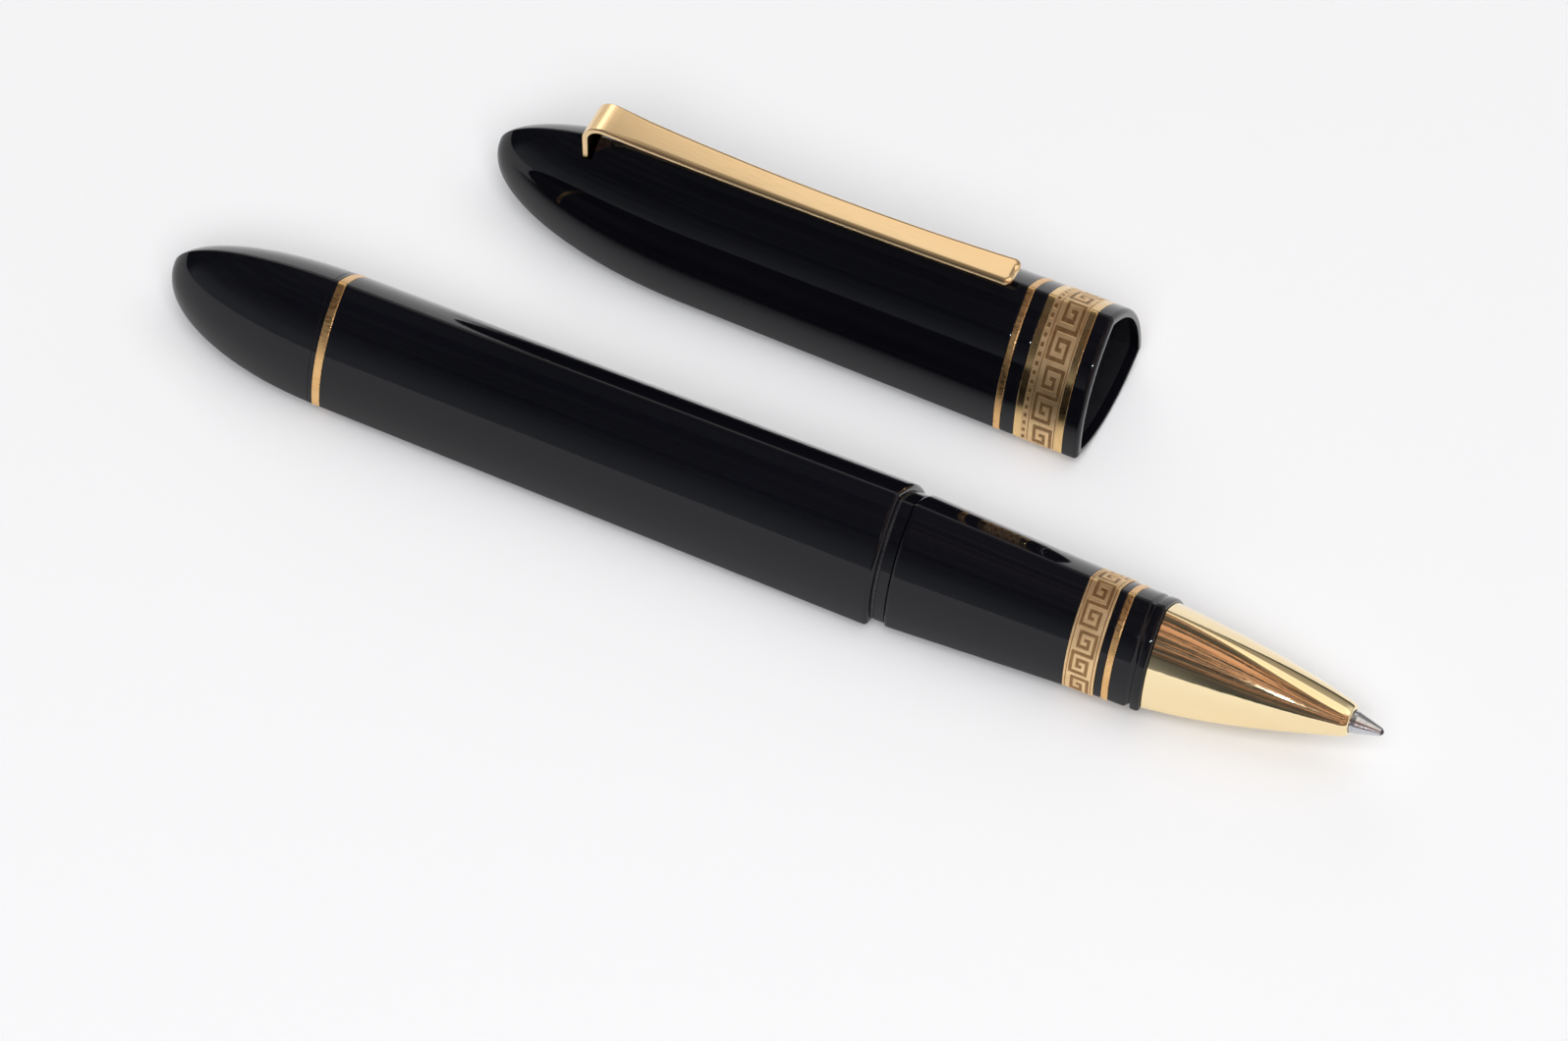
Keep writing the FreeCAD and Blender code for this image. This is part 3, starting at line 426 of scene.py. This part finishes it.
spring = skin("spring_coil", list(spring_rings()), "barrel", [STEEL],
              ["refill_spring"], fans=(True, True))
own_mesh(spring)

# ------------------------------------------------------------------ section
SECTION_BORE = 9.0 * MM
section_rear_width, section_front_width = width("section_shell"), width("section_band")
NECK_LENGTH, NECK_WIDTH, GRIP_ROUND = 1.2 * MM, 13.7 * MM, 0.45 * MM
WASHER_BORE, WASHER_INSET = 10.2 * MM, 0.05 * MM
neck_front = rear("section_shell") + NECK_LENGTH
plain_ring("neck_washer", "seat_washer", PEN, "washer", DARK_PLASTIC,
           pen_bore(WASHER_BORE), radius=0.03 * MM, ring_width=NECK_WIDTH - WASHER_INSET)
skin("section_grip", [
    *rim(PEN, rear("section_shell"), NECK_WIDTH, radius=0.1 * MM, way=-1)[::-1],
    ring(PEN, neck_front, NECK_WIDTH),
    *rim(PEN, neck_front, section_rear_width, radius=GRIP_ROUND, way=-1,
         count=SHOULDER_STEPS)[::-1],
    *rim(PEN, front("section_shell"), section_front_width, radius=0.05 * MM),
    circle(PEN, front("section_shell"), SECTION_BORE),
    circle(PEN, rear("section_shell"), SECTION_BORE),
], "section", [LACQUER], ["section_shell"], loop=True)
plain_ring("section_black_ring", "section_spacer_ring", PEN, "section", LACQUER,
           pen_bore(SECTION_BORE), radius=0.1 * MM)
plain_ring("section_gold_ring", "section_thin_ring", PEN, "section", GOLD,
           pen_bore(SECTION_BORE), radius=0.1 * MM)

collar_width = width("section_collar")
collar_rear, collar_front = rear("section_collar"), front("section_collar")
BEAD_LENGTH, BEAD_WIDTH, BEAD_STEPS = 1.1 * MM, 12.05 * MM, 8
GROOVE_LENGTH, GROOVE_WIDTH, GROOVE_STEPS = 0.5 * MM, 11.3 * MM, 12
groove_front = collar_front - BEAD_LENGTH
groove_rear = groove_front - GROOVE_LENGTH
hollow = [ring(PEN, groove_rear + GROOVE_LENGTH * index / GROOVE_STEPS,
               collar_width - (collar_width - GROOVE_WIDTH)
               * math.sin(math.pi / 2 * index / GROOVE_STEPS))
          for index in range(1, GROOVE_STEPS + 1)]
skin("section_front_collar", [
    *rim(PEN, collar_rear, collar_width, radius=0.06 * MM, way=-1)[::-1],
    # the start of a rounding, from which the hollow carries on
    *rim(PEN, groove_rear, collar_width, radius=0.1 * MM)[:4],
    *hollow,
    *rim(PEN, groove_front, BEAD_WIDTH, radius=0.3 * MM, way=-1, count=BEAD_STEPS)[::-1],
    *rim(PEN, collar_front, BEAD_WIDTH, radius=0.38 * MM, count=BEAD_STEPS),
    circle(PEN, collar_front, SECTION_BORE), circle(PEN, collar_rear, SECTION_BORE),
], "section", [LACQUER], ["section_collar"], loop=True)

nose_rear, nose_front = rear("nose_cone"), front("nose_cone")
NOSE_WIDTH, NOSE_TIP_WIDTH, NOSE_HOLE, NOSE_ROUND = 11.2 * MM, 3.4 * MM, 2.5 * MM, 0.25 * MM
NOSE_STEPS, NOSE_ROUND_STEPS = 40, 6
# where the bevel at the rear ends and the rounding at the tip starts, as shares of the length
NOSE_BEVEL_SHARE, NOSE_STRAIGHT, NOSE_BEVEL = 0.004, 0.98, 0.1 * MM
ROUND_CORNER = 0.49    # the corner radius, as a share of the width, that makes a section round
# the refill's chamber in the nose: the hole in front, the taper, and the socket for the stud
HOLE_DEPTH, TAPER_FRONT_DEPTH, TAPER_FRONT_WIDTH = 0.6 * MM, 10.9 * MM, 4.9 * MM
STUD_DEPTH, TAPER_REAR_DEPTH, TAPER_REAR_WIDTH, STUD_WIDTH = 5.0 * MM, 5.2 * MM, 6.5 * MM, 7.7 * MM


def nose_ring(share, sink=0.0, x=None):
    """The nose's section at a share of its length: a triangle that turns into a circle."""
    across = NOSE_WIDTH - (NOSE_WIDTH - NOSE_TIP_WIDTH) * (share + share ** 2) / 2
    corner = RIDGE + (ROUND_CORNER * across - RIDGE) * share ** 2
    place = nose_rear + share * (nose_front - nose_rear) if x is None else x
    return ring(PEN, place, across, corner, sink=sink)


nose_rings = [nose_ring(0, sink=NOSE_BEVEL), nose_ring(NOSE_BEVEL_SHARE)]
nose_rings += [nose_ring(NOSE_STRAIGHT * index / NOSE_STEPS) for index in range(1, NOSE_STEPS + 1)]
for index in range(1, NOSE_ROUND_STEPS + 1):
    turn = math.pi / 2 * index / NOSE_ROUND_STEPS
    nose_rings.append(nose_ring(1, NOSE_ROUND * (1 - math.cos(turn)),
                                nose_front - NOSE_ROUND * (1 - math.sin(turn))))
skin("nose", nose_rings + [
    circle(PEN, nose_front, NOSE_HOLE), circle(PEN, nose_front - HOLE_DEPTH, NOSE_HOLE),
    circle(PEN, nose_front - TAPER_FRONT_DEPTH, TAPER_FRONT_WIDTH),
    circle(PEN, nose_rear + TAPER_REAR_DEPTH, TAPER_REAR_WIDTH),
    circle(PEN, nose_rear + STUD_DEPTH, STUD_WIDTH), circle(PEN, nose_rear, STUD_WIDTH),
], "section", [NOSE_GOLD], ["nose_cone"], loop=True)

# ------------------------------------------------------------------ cap
cap_front_width, cap_band_width = width("cap_spacer_ring"), width("cap_band")
CAP_REAR_WIDTH, SPIGOT_WIDTH = 15.4 * MM, 15.4 * MM
MOUTH_WIDTH, INNER_REAR_WIDTH, INNER_CORNER = 14.4 * MM, 13.0 * MM, 0.2 * MM
CAVITY_END_WIDTH, CAVITY_END_DEPTH, ANCHOR_BORE, ANCHOR_GAP = 9 * MM, 10.8 * MM, 7 * MM, 0.1 * MM
taper_front, dome_base = rear("cap_thin_ring"), rear("cap_liner")
spigot_front = front("cap_shell")
mouth = front("cap_lip_ring")


def inner_width(x):
    """Width of the cap's inside, from the shoulder of the dome to the mouth."""
    share = (x - dome_base) / (mouth - dome_base)
    return INNER_REAR_WIDTH + (MOUTH_WIDTH - INNER_REAR_WIDTH) * share


cap_outside = [
    *dome(CAP, dome_base, dome_base - rear("cap_shell"), CAP_REAR_WIDTH),
    *rim(CAP, taper_front, cap_front_width, radius=0.06 * MM),
    ring(CAP, taper_front, SPIGOT_WIDTH), ring(CAP, spigot_front, SPIGOT_WIDTH),
]
cap_inside = [
    ring(CAP, spigot_front, inner_width(spigot_front), INNER_CORNER),
    ring(CAP, dome_base, INNER_REAR_WIDTH, INNER_CORNER),
    ring(CAP, dome_base - CAVITY_END_DEPTH, CAVITY_END_WIDTH, INNER_CORNER),
    circle(CAP, dome_base - CAVITY_END_DEPTH, ANCHOR_BORE),
    circle(CAP, rear("clip_anchor") - ANCHOR_GAP, ANCHOR_BORE),
]
cap_body = skin("cap_body", cap_outside + cap_inside, "cap", [LACQUER, INTERIOR],
                ["cap_shell"], fans=(True, True),
                zones=[0] * len(cap_outside) + [1] * len(cap_inside))

# the slot for the clip's leg
CLIP_THICKNESS = 0.65 * MM
SLOT_REAR_GAP, SLOT_FRONT_GAP, SLOT_HALF, SLOT_FLOOR = 0.1 * MM, 0.5 * MM, 2.05 * MM, 2.1 * MM
cut_box(cap_body,
        (rear("clip") - SLOT_REAR_GAP, CAP[0] - SLOT_HALF, CAP[1] + SLOT_FLOOR),
        (rear("clip") + CLIP_THICKNESS + SLOT_FRONT_GAP, CAP[0] + SLOT_HALF,
         CAP[1] + CAP_REAR_WIDTH), INTERIOR)


def cap_bore(x, steps=STEPS):
    """The inner rings of the cap's bands, which sit on its spigot."""
    return ring(CAP, x, SPIGOT_WIDTH, steps=steps)


plain_ring("cap_gold_ring", "cap_thin_ring", CAP, "cap", GOLD, cap_bore, radius=0.12 * MM)
plain_ring("cap_black_ring", "cap_spacer_ring", CAP, "cap", LACQUER, cap_bore,
           radius=0.12 * MM)
lip_rear = rear("cap_lip_ring")
LIP_OUTER_ROUND, LIP_INNER_ROUND, LIP_STEPS = 0.5 * MM, 0.08 * MM, 8
skin("cap_lip", [
    *rim(CAP, lip_rear, cap_band_width, radius=0.08 * MM, way=-1)[::-1],
    *rim(CAP, mouth, cap_band_width, radius=LIP_OUTER_ROUND, count=LIP_STEPS),
    *[ring(CAP, mouth - LIP_INNER_ROUND * (1 - math.sin(turn)), MOUTH_WIDTH, INNER_CORNER,
           sink=-LIP_INNER_ROUND * (1 - math.cos(turn)))
      for turn in np.linspace(math.pi / 2, 0, LIP_STEPS + 1)],
    ring(CAP, spigot_front, inner_width(spigot_front), INNER_CORNER),
    ring(CAP, spigot_front, SPIGOT_WIDTH), ring(CAP, lip_rear, SPIGOT_WIDTH),
], "cap", [LACQUER], ["cap_lip_ring"], loop=True)

# ------------------------------------------------------------------ engraved bands
KEY = ("1111111.......",
       "1.....1.11111.",
       "1.111.1.1...1.",
       "1.1.1.1.1.1.1.",
       "1.1...1.1.111.",
       "1.11111.1.....",
       "1.......111111")
KEY_REPEATS, CELL_STEPS, ENGRAVING = 7, 3, 0.045 * MM
BORDER_GAP, BORDER_LINE, BAR_GAP, BAR_LENGTH = 0.16 * MM, 0.09 * MM, 0.24 * MM, 0.36 * MM
BARS = "1.1.1.1.1.1.1."
# the engraving's sloping walls, as a share of a cell round the band and of a row along it
WALL_SHARE, ROW_WALL_SHARE = 0.06, 0.07
BAND_ROUND = 0.08 * MM
SAME_PLACE = 1e-9    # how near two rings are when they count as one place


def band_rows(key_start, key_length, bars):
    """What is cut into a band, as (start, end, line of cells), from the rear forwards."""
    length, key_end = key_length / len(KEY), key_start + key_length
    full = "1" * len(KEY[0])
    rows = [(key_start + index * length, key_start + (index + 1) * length, line)
            for index, line in enumerate(KEY)]
    rows.insert(0, (key_start - BORDER_GAP - BORDER_LINE, key_start - BORDER_GAP, full))
    rows.append((key_end + BORDER_GAP, key_end + BORDER_GAP + BORDER_LINE, full))
    if bars:
        bars_end = rows[0][0] - BAR_GAP
        rows.insert(0, (bars_end - BAR_LENGTH, bars_end, BARS))
    return rows


def engraved_band(name, node, centre, body, bore, key_middle, key_length, margin, bars=False):
    """A band with a key pattern cut round it between two fine lines.  The field between the
    lines is matt; margin is the width of the polished strip on each side."""
    across, start, end = width(node), rear(node), front(node)
    columns = KEY_REPEATS * len(KEY[0])
    cell = math.pi * across / columns
    wall, row_wall = WALL_SHARE * cell, ROW_WALL_SHARE * key_length / len(KEY)
    inner = np.linspace(wall, cell - wall, CELL_STEPS + 1)
    distances = (np.arange(columns)[:, None] * cell + inner[None, :]).ravel()
    steps = steps_by_length(across, RIDGE, distances)
    flat = np.zeros(len(steps), bool)
    rings = rim(centre, start, across, BAND_ROUND, way=-1, steps=steps)[::-1]
    sunk = [flat] * len(rings)

    def add(x, line=None):
        """A ring at x, sunk where the line has a cut cell."""
        deep = flat if line is None else np.repeat(
            [line[column % len(line)] == "1" for column in range(columns)], CELL_STEPS + 1)
        rings.append(ring(centre, x, across, steps=steps, sink=np.where(deep, ENGRAVING, 0.0)))
        sunk.append(deep)

    if margin:
        add(start + margin)
    previous = None
    for low, high, line in band_rows(start + key_middle - key_length / 2, key_length, bars):
        if previous is None or low - previous > row_wall:
            if previous is not None:
                add(previous + row_wall / 2)
            add(low - row_wall / 2)
        add(low + row_wall / 2, line)
        add(high - row_wall / 2, line)
        previous = high
    add(previous + row_wall / 2)
    if margin:
        add(end - margin)
    rings += rim(centre, end, across, BAND_ROUND, steps=steps)
    rings += [bore(end, steps), bore(start, steps)]
    sunk += [flat] * (len(rings) - len(sunk))
    zones = [2 if start + margin < each[0][0] + SAME_PLACE < end - margin else 0
             for each in rings]
    # sunk cells take the dark brown of the cuts, which is painted shade in the engraving
    skin(name, rings, body, [BAND_GOLD, RECESS_PAINTED_SHADE, FIELD], [node], loop=True,
         sunk=sunk, zones=zones)


engraved_band("section_key_band", "section_band", PEN, "section",
              pen_bore(SECTION_BORE),
              key_middle=1.7 * MM, key_length=2.4 * MM, margin=0)
engraved_band("cap_key_band", "cap_band", CAP, "cap",
              cap_bore,
              key_middle=3.05 * MM, key_length=2.5 * MM, margin=0.8 * MM, bars=True)

# ------------------------------------------------------------------ clip
clip_low, clip_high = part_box("clip")
# the strip's width, its narrowest width and where that is, and the radius of its sides there
CLIP_WIDTH, CLIP_WAIST, WAIST_AT, WAIST_CURVE = 3.9 * MM, 3.0 * MM, 28.9 * MM, 928 * MM
# radii of the bend at its root, of its long hollow curve and of the corners at its end
CLIP_BEND, CLIP_CURVE, CLIP_END_ROUND = 1.7 * MM, 328 * MM, 0.9 * MM
# how high the bar's upper face is above the cap's axis at its lowest
CLIP_HEIGHT, LEG_TOP_GAP = 10.41 * MM, 0.3 * MM
# the rounding of its edges, and the deeper one that its upper face grows into along the bar
CLIP_EDGE = 0.09 * MM
CLIP_CROWN_ACROSS, CLIP_CROWN_DEPTH, CLIP_CROWN_RUN = 0.62 * MM, 0.30 * MM, 5.0 * MM
CROWN_START = 0.25
CLIP_LEG_POINTS, CLIP_BEND_STEPS, CLIP_BAR_STEPS, CLIP_END_GAP = 2, 24, 60, 0.1 * MM
CLIP_END_POINTS, CLIP_LOWER_POINTS, CLIP_CROWN_POINTS = 13, 5, 11
leg_x = clip_low.x + CLIP_THICKNESS / 2
sag = CAP[1] + CLIP_HEIGHT - CLIP_THICKNESS / 2


def clip_path():
    """Places along the middle of the strip, with its outward direction, as (x, z, nx, nz)."""
    sag_x = leg_x + (clip_high.x - leg_x) / 2 + CLIP_BEND
    radius = CLIP_CURVE + CLIP_THICKNESS / 2
    centre_z = sag + radius
    bend = CLIP_BEND + CLIP_THICKNESS / 2
    bend_x = leg_x + bend
    bend_z = centre_z - math.sqrt((radius + bend) ** 2 - (sag_x - bend_x) ** 2)
    path = [(leg_x, clip_low.z, -1, 0), (leg_x, bend_z - LEG_TOP_GAP, -1, 0)]
    start = math.atan2(bend_z - centre_z, bend_x - sag_x)
    for index in range(CLIP_BEND_STEPS + 1):
        turn = math.pi + start * index / CLIP_BEND_STEPS
        path.append((bend_x + bend * math.cos(turn), bend_z + bend * math.sin(turn),
                     math.cos(turn), math.sin(turn)))
    last = math.asin((clip_high.x - sag_x) / radius) - math.pi / 2
    for index in range(1, CLIP_BAR_STEPS + 1):
        turn = start + (last - start) * index / CLIP_BAR_STEPS
        path.append((sag_x + radius * math.cos(turn), centre_z + radius * math.sin(turn),
                     -math.cos(turn), -math.sin(turn)))
    return np.array(path)


def clip_rings():
    """Rings across the strip, from the leg's foot to the rounded end, with a crowned top."""
    path = clip_path()
    run = np.concatenate(([0], np.cumsum(np.hypot(*np.diff(path[:, :2], axis=0).T))))
    waist_x = leg_x + WAIST_AT

    def half_width(x):
        """Half the strip's width at x, from the arcs of its hollow sides."""
        return min(CLIP_WIDTH / 2, CLIP_WAIST / 2 + (x - waist_x) ** 2 / (2 * WAIST_CURVE))

    end_half = half_width(clip_high.x)
    half = CLIP_THICKNESS / 2
    straight_end = run[-1] - CLIP_END_ROUND
    stations = [(value, None) for value in run if value < straight_end - CLIP_END_GAP]
    stations += [(straight_end, turn) for turn in np.linspace(0, math.pi / 2, CLIP_END_POINTS)]
    rows = []
    bend_end = run[CLIP_LEG_POINTS + CLIP_BEND_STEPS]
    for along, turn in stations:
        grown = min(max((along - bend_end) / CLIP_CROWN_RUN + CROWN_START, 0.0), 1.0)
        across_edge = CLIP_EDGE + (CLIP_CROWN_ACROSS - CLIP_EDGE) * grown
        deep_edge = CLIP_EDGE + (CLIP_CROWN_DEPTH - CLIP_EDGE) * grown
        levels = [(CLIP_EDGE * (1 - math.sin(lift)), -half + CLIP_EDGE * (1 - math.cos(lift)))
                  for lift in np.linspace(0, math.pi / 2, CLIP_LOWER_POINTS)]
        levels += [(across_edge * (1 - math.cos(lift)), half - deep_edge * (1 - math.sin(lift)))
                   for lift in np.linspace(0, math.pi / 2, CLIP_CROWN_POINTS)]
        row = []
        for side in (-1, 1):
            line = []
            for inset, height in levels:
                place = along
                if turn is None:
                    across = half_width(np.interp(place, run, path[:, 0])) - inset
                else:
                    reach = CLIP_END_ROUND - inset
                    place = along + reach * math.sin(turn)
                    across = end_half - CLIP_END_ROUND + reach * math.cos(turn)
                x, z, nx, nz = (np.interp(place, run, path[:, column]) for column in range(4))
                line.append((x + nx * height, CAP[0] + side * across, z + nz * height))
            row += line if side < 0 else line[::-1]
        rows.append(np.array(row))
    return rows


skin("clip_strip", clip_rings(), "clip", [CLIP_GOLD], ["clip"], fans=(True, True))

# ------------------------------------------------------------------ remaining CAD pieces
CAD_FINISH = {
    "barrel_insert": BRASS, "section_core": BRASS, "clip_anchor": BRASS,
    "refill_tip": STEEL, "clip_screw": STEEL, "writing_ball": CARBIDE,
    "refill_tube": PALE_PLASTIC, "refill_nose": DARK_PLASTIC, "refill_plug": DARK_PLASTIC,
    "cap_liner": INTERIOR, "ink_reservoir": FELT, "ink_wick": FELT,
}
for node, material in CAD_FINISH.items():
    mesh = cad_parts[node].data
    mesh.materials.clear()
    mesh.materials.append(material)

# ------------------------------------------------------------------ floor
FLOOR_HALF = 3.0
FLOOR = finish("floor_paper", ((0.885, 0.895, 0.918), (0.89, 0.90, 0.923)), (0.9, 1.0),
               patch=3.0, grain=30.0, specular=0.1)
floor_mesh = bpy.data.meshes.new("floor")
floor_mesh.from_pydata([(-FLOOR_HALF, -FLOOR_HALF, 0), (FLOOR_HALF, -FLOOR_HALF, 0),
                        (FLOOR_HALF, FLOOR_HALF, 0), (-FLOOR_HALF, FLOOR_HALF, 0)],
                       [], [(0, 1, 2, 3)])
floor = bpy.data.objects.new("floor", floor_mesh)
floor_mesh.materials.append(FLOOR)
bpy.context.scene.collection.objects.link(floor)

# ------------------------------------------------------------------ sky
# The studio round the object, by direction: soft lights high behind and at the sides, and a
# nearly dark room in front with a warm patch on the right and a paler band at the horizon.
# Matt surfaces get little of it, because the area lights light them.
DIFFUSE_CUT = 0.8    # the share of the sky's light that matt surfaces don't get
BACKDROP = (0.93, 0.94, 0.955)
world = bpy.data.worlds.new("studio")
world.use_nodes = True
sky_nodes, sky_links = world.node_tree.nodes, world.node_tree.links
direction = sky_nodes.new("ShaderNodeTexCoord").outputs["Generated"]


def feed(value, socket):
    """Gives a node's input a number or the output of another node."""
    if isinstance(value, float):
        socket.default_value = value
    else:
        sky_links.new(value, socket)


def towards(vector, start, end):
    """0 to 1 as the cosine of the angle to vector goes from start to end."""
    dot = sky_nodes.new("ShaderNodeVectorMath")
    dot.operation = "DOT_PRODUCT"
    dot.inputs[1].default_value = Vector(vector).normalized()
    sky_links.new(direction, dot.inputs[0])
    step = sky_nodes.new("ShaderNodeMapRange")
    step.interpolation_type = "SMOOTHERSTEP"
    step.inputs["From Min"].default_value = start
    step.inputs["From Max"].default_value = end
    sky_links.new(dot.outputs["Value"], step.inputs["Value"])
    return step.outputs["Result"]


def times(first, second):
    """The product of two numbers or outputs."""
    node = sky_nodes.new("ShaderNodeMath")
    node.operation = "MULTIPLY"
    feed(first, node.inputs[0])
    feed(second, node.inputs[1])
    return node.outputs["Value"]


def glow(colour, strength):
    """Light of that colour and strength."""
    node = sky_nodes.new("ShaderNodeBackground")
    node.inputs["Color"].default_value = (*colour, 1)
    feed(strength, node.inputs["Strength"])
    return node.outputs["Background"]


def plus(first, second):
    """Two lights together."""
    node = sky_nodes.new("ShaderNodeAddShader")
    sky_links.new(first, node.inputs[0])
    sky_links.new(second, node.inputs[1])
    return node.outputs["Shader"]


def mottled(scale, stretch, low, high, start=0.38, end=0.62):
    """A strength that varies in patches from low to high."""
    patches = noise(sky_nodes, sky_links, scale, stretch, GRAIN_DETAIL, "Generated")
    return spread(sky_nodes, sky_links, patches, low, high, start, end)


# each light's colour, and its strength by direction
SKY_LIGHTS = (
    # a soft box high behind on the left, and a wide uneven glow behind
    ((1.0, 0.98, 0.95), times(towards((-0.45, 0.62, 0.64), 0.90, 0.99), 0.70)),
    ((1.0, 0.97, 0.93), times(towards((-0.05, 0.72, 0.69), 0.66, 0.90),
                              mottled(2.0, (1, 1, 1), 0.08, 0.24))),
    # a smaller soft box lower on the left, and a faint warm glow overhead
    ((1.0, 0.98, 0.94), times(towards((-0.75, 0.53, 0.40), 0.84, 0.97), 0.75)),
    ((1.0, 0.88, 0.76), times(towards((0.0, 0.40, 0.92), 0.48, 0.85), 0.14)),
    # a warm streaky patch of room in front on the right
    ((1.0, 0.54, 0.36), times(towards((0.55, -0.55, 0.62), 0.62, 0.88),
                              mottled(3.4, (1.0, 2.0, 11.0), 0.02, 0.66, 0.46, 0.60))),
    # a bright spot overhead, for the ridges
    ((1.0, 0.96, 0.86), times(towards((0.30, 0.10, 0.95), 0.87, 0.97), 0.85)),
    # the dim room in front, a cool glow on the right, a pale horizon in front on the left
    ((0.90, 0.93, 1.0), times(towards((0.0, -1.0, 0.2), -0.2, 0.5),
                              mottled(2.5, (1.0, 2.0, 9.0), 0.01, 0.08))),
    ((0.93, 0.96, 1.0), times(towards((1.0, 0.35, 0.25), 0.55, 0.9), 0.55)),
    ((0.92, 0.95, 1.0), times(times(towards((0.0, 0.0, 1.0), 0.52, -0.05),
                                    towards((-0.6, -0.8, 0.0), 0.76, 0.93)), 0.42)),
    # a trace of light from everywhere
    ((0.85, 0.92, 1.0), 0.02),
)
everything = reduce(plus, [glow(colour, strength) for colour, strength in SKY_LIGHTS])
path = sky_nodes.new("ShaderNodeLightPath")
matt = sky_nodes.new("ShaderNodeMixShader")
sky_links.new(times(path.outputs["Is Diffuse Ray"], DIFFUSE_CUT), matt.inputs["Fac"])
sky_links.new(everything, matt.inputs[1])

# the camera sees an even pale backdrop instead
mix = sky_nodes.new("ShaderNodeMixShader")
sky_links.new(path.outputs["Is Camera Ray"], mix.inputs["Fac"])
sky_links.new(matt.outputs["Shader"], mix.inputs[1])
sky_links.new(glow(BACKDROP, 1.0), mix.inputs[2])
sky_links.new(mix.outputs["Shader"], sky_nodes["World Output"].inputs["Surface"])
bpy.context.scene.world = world

# ------------------------------------------------------------------ lamps and camera
AZIMUTH, ELEVATION, DISTANCE = math.radians(25.6), math.radians(53.86), 904.3 * MM
FOCAL_LENGTH, SENSOR_WIDTH = 203.0, 36.0    # in millimetres, as Blender wants them
# the middle of the picture, on the floor beside the pen's own axis
TARGET = Vector((0.865 * MM, PEN[0] + 2.11 * MM, 0))
WHITE, FRONT_FILL_DISTANCE = (1.0, 1.0, 1.0), 2.4
back = Vector((math.sin(AZIMUTH) * math.cos(ELEVATION), -math.cos(AZIMUTH) * math.cos(ELEVATION),
               math.sin(ELEVATION)))


def area_light(name, place, size, energy, colour, shape, in_gloss=True, in_diffuse=True):
    """A lamp that faces the middle of the scene, seen in gloss or by matt surfaces or both."""
    data = bpy.data.lights.new(name, "AREA")
    data.shape, data.size, data.energy, data.color = shape, size, energy, colour
    light = bpy.data.objects.new(name, data)
    light.location = place
    light.rotation_euler = Vector(place).to_track_quat("Z", "Y").to_euler()
    light.visible_glossy = in_gloss
    light.visible_diffuse = in_diffuse
    bpy.context.scene.collection.objects.link(light)


area_light("small_lamp", (0.2316, -1.02, 0.5844), 0.022, 2.2, (0.9, 0.94, 1.0), "DISK",
           in_diffuse=False)
area_light("top_fill", (0.3, 0.5, 2.4), 2.4, 18.0, WHITE, "SQUARE", in_gloss=False)
area_light("front_fill", back * FRONT_FILL_DISTANCE, 1.4, 48.0, WHITE, "SQUARE", in_gloss=False)

camera_data = bpy.data.cameras.new("camera")
camera_data.lens, camera_data.sensor_width = FOCAL_LENGTH, SENSOR_WIDTH
camera_data.clip_start, camera_data.clip_end = 0.01, 20
camera = bpy.data.objects.new("camera", camera_data)
camera.location = TARGET + back * DISTANCE
camera.rotation_euler = (-back).to_track_quat("-Z", "Y").to_euler()
bpy.context.scene.collection.objects.link(camera)
bpy.context.scene.camera = camera
bpy.context.scene.view_settings.view_transform = "Standard"
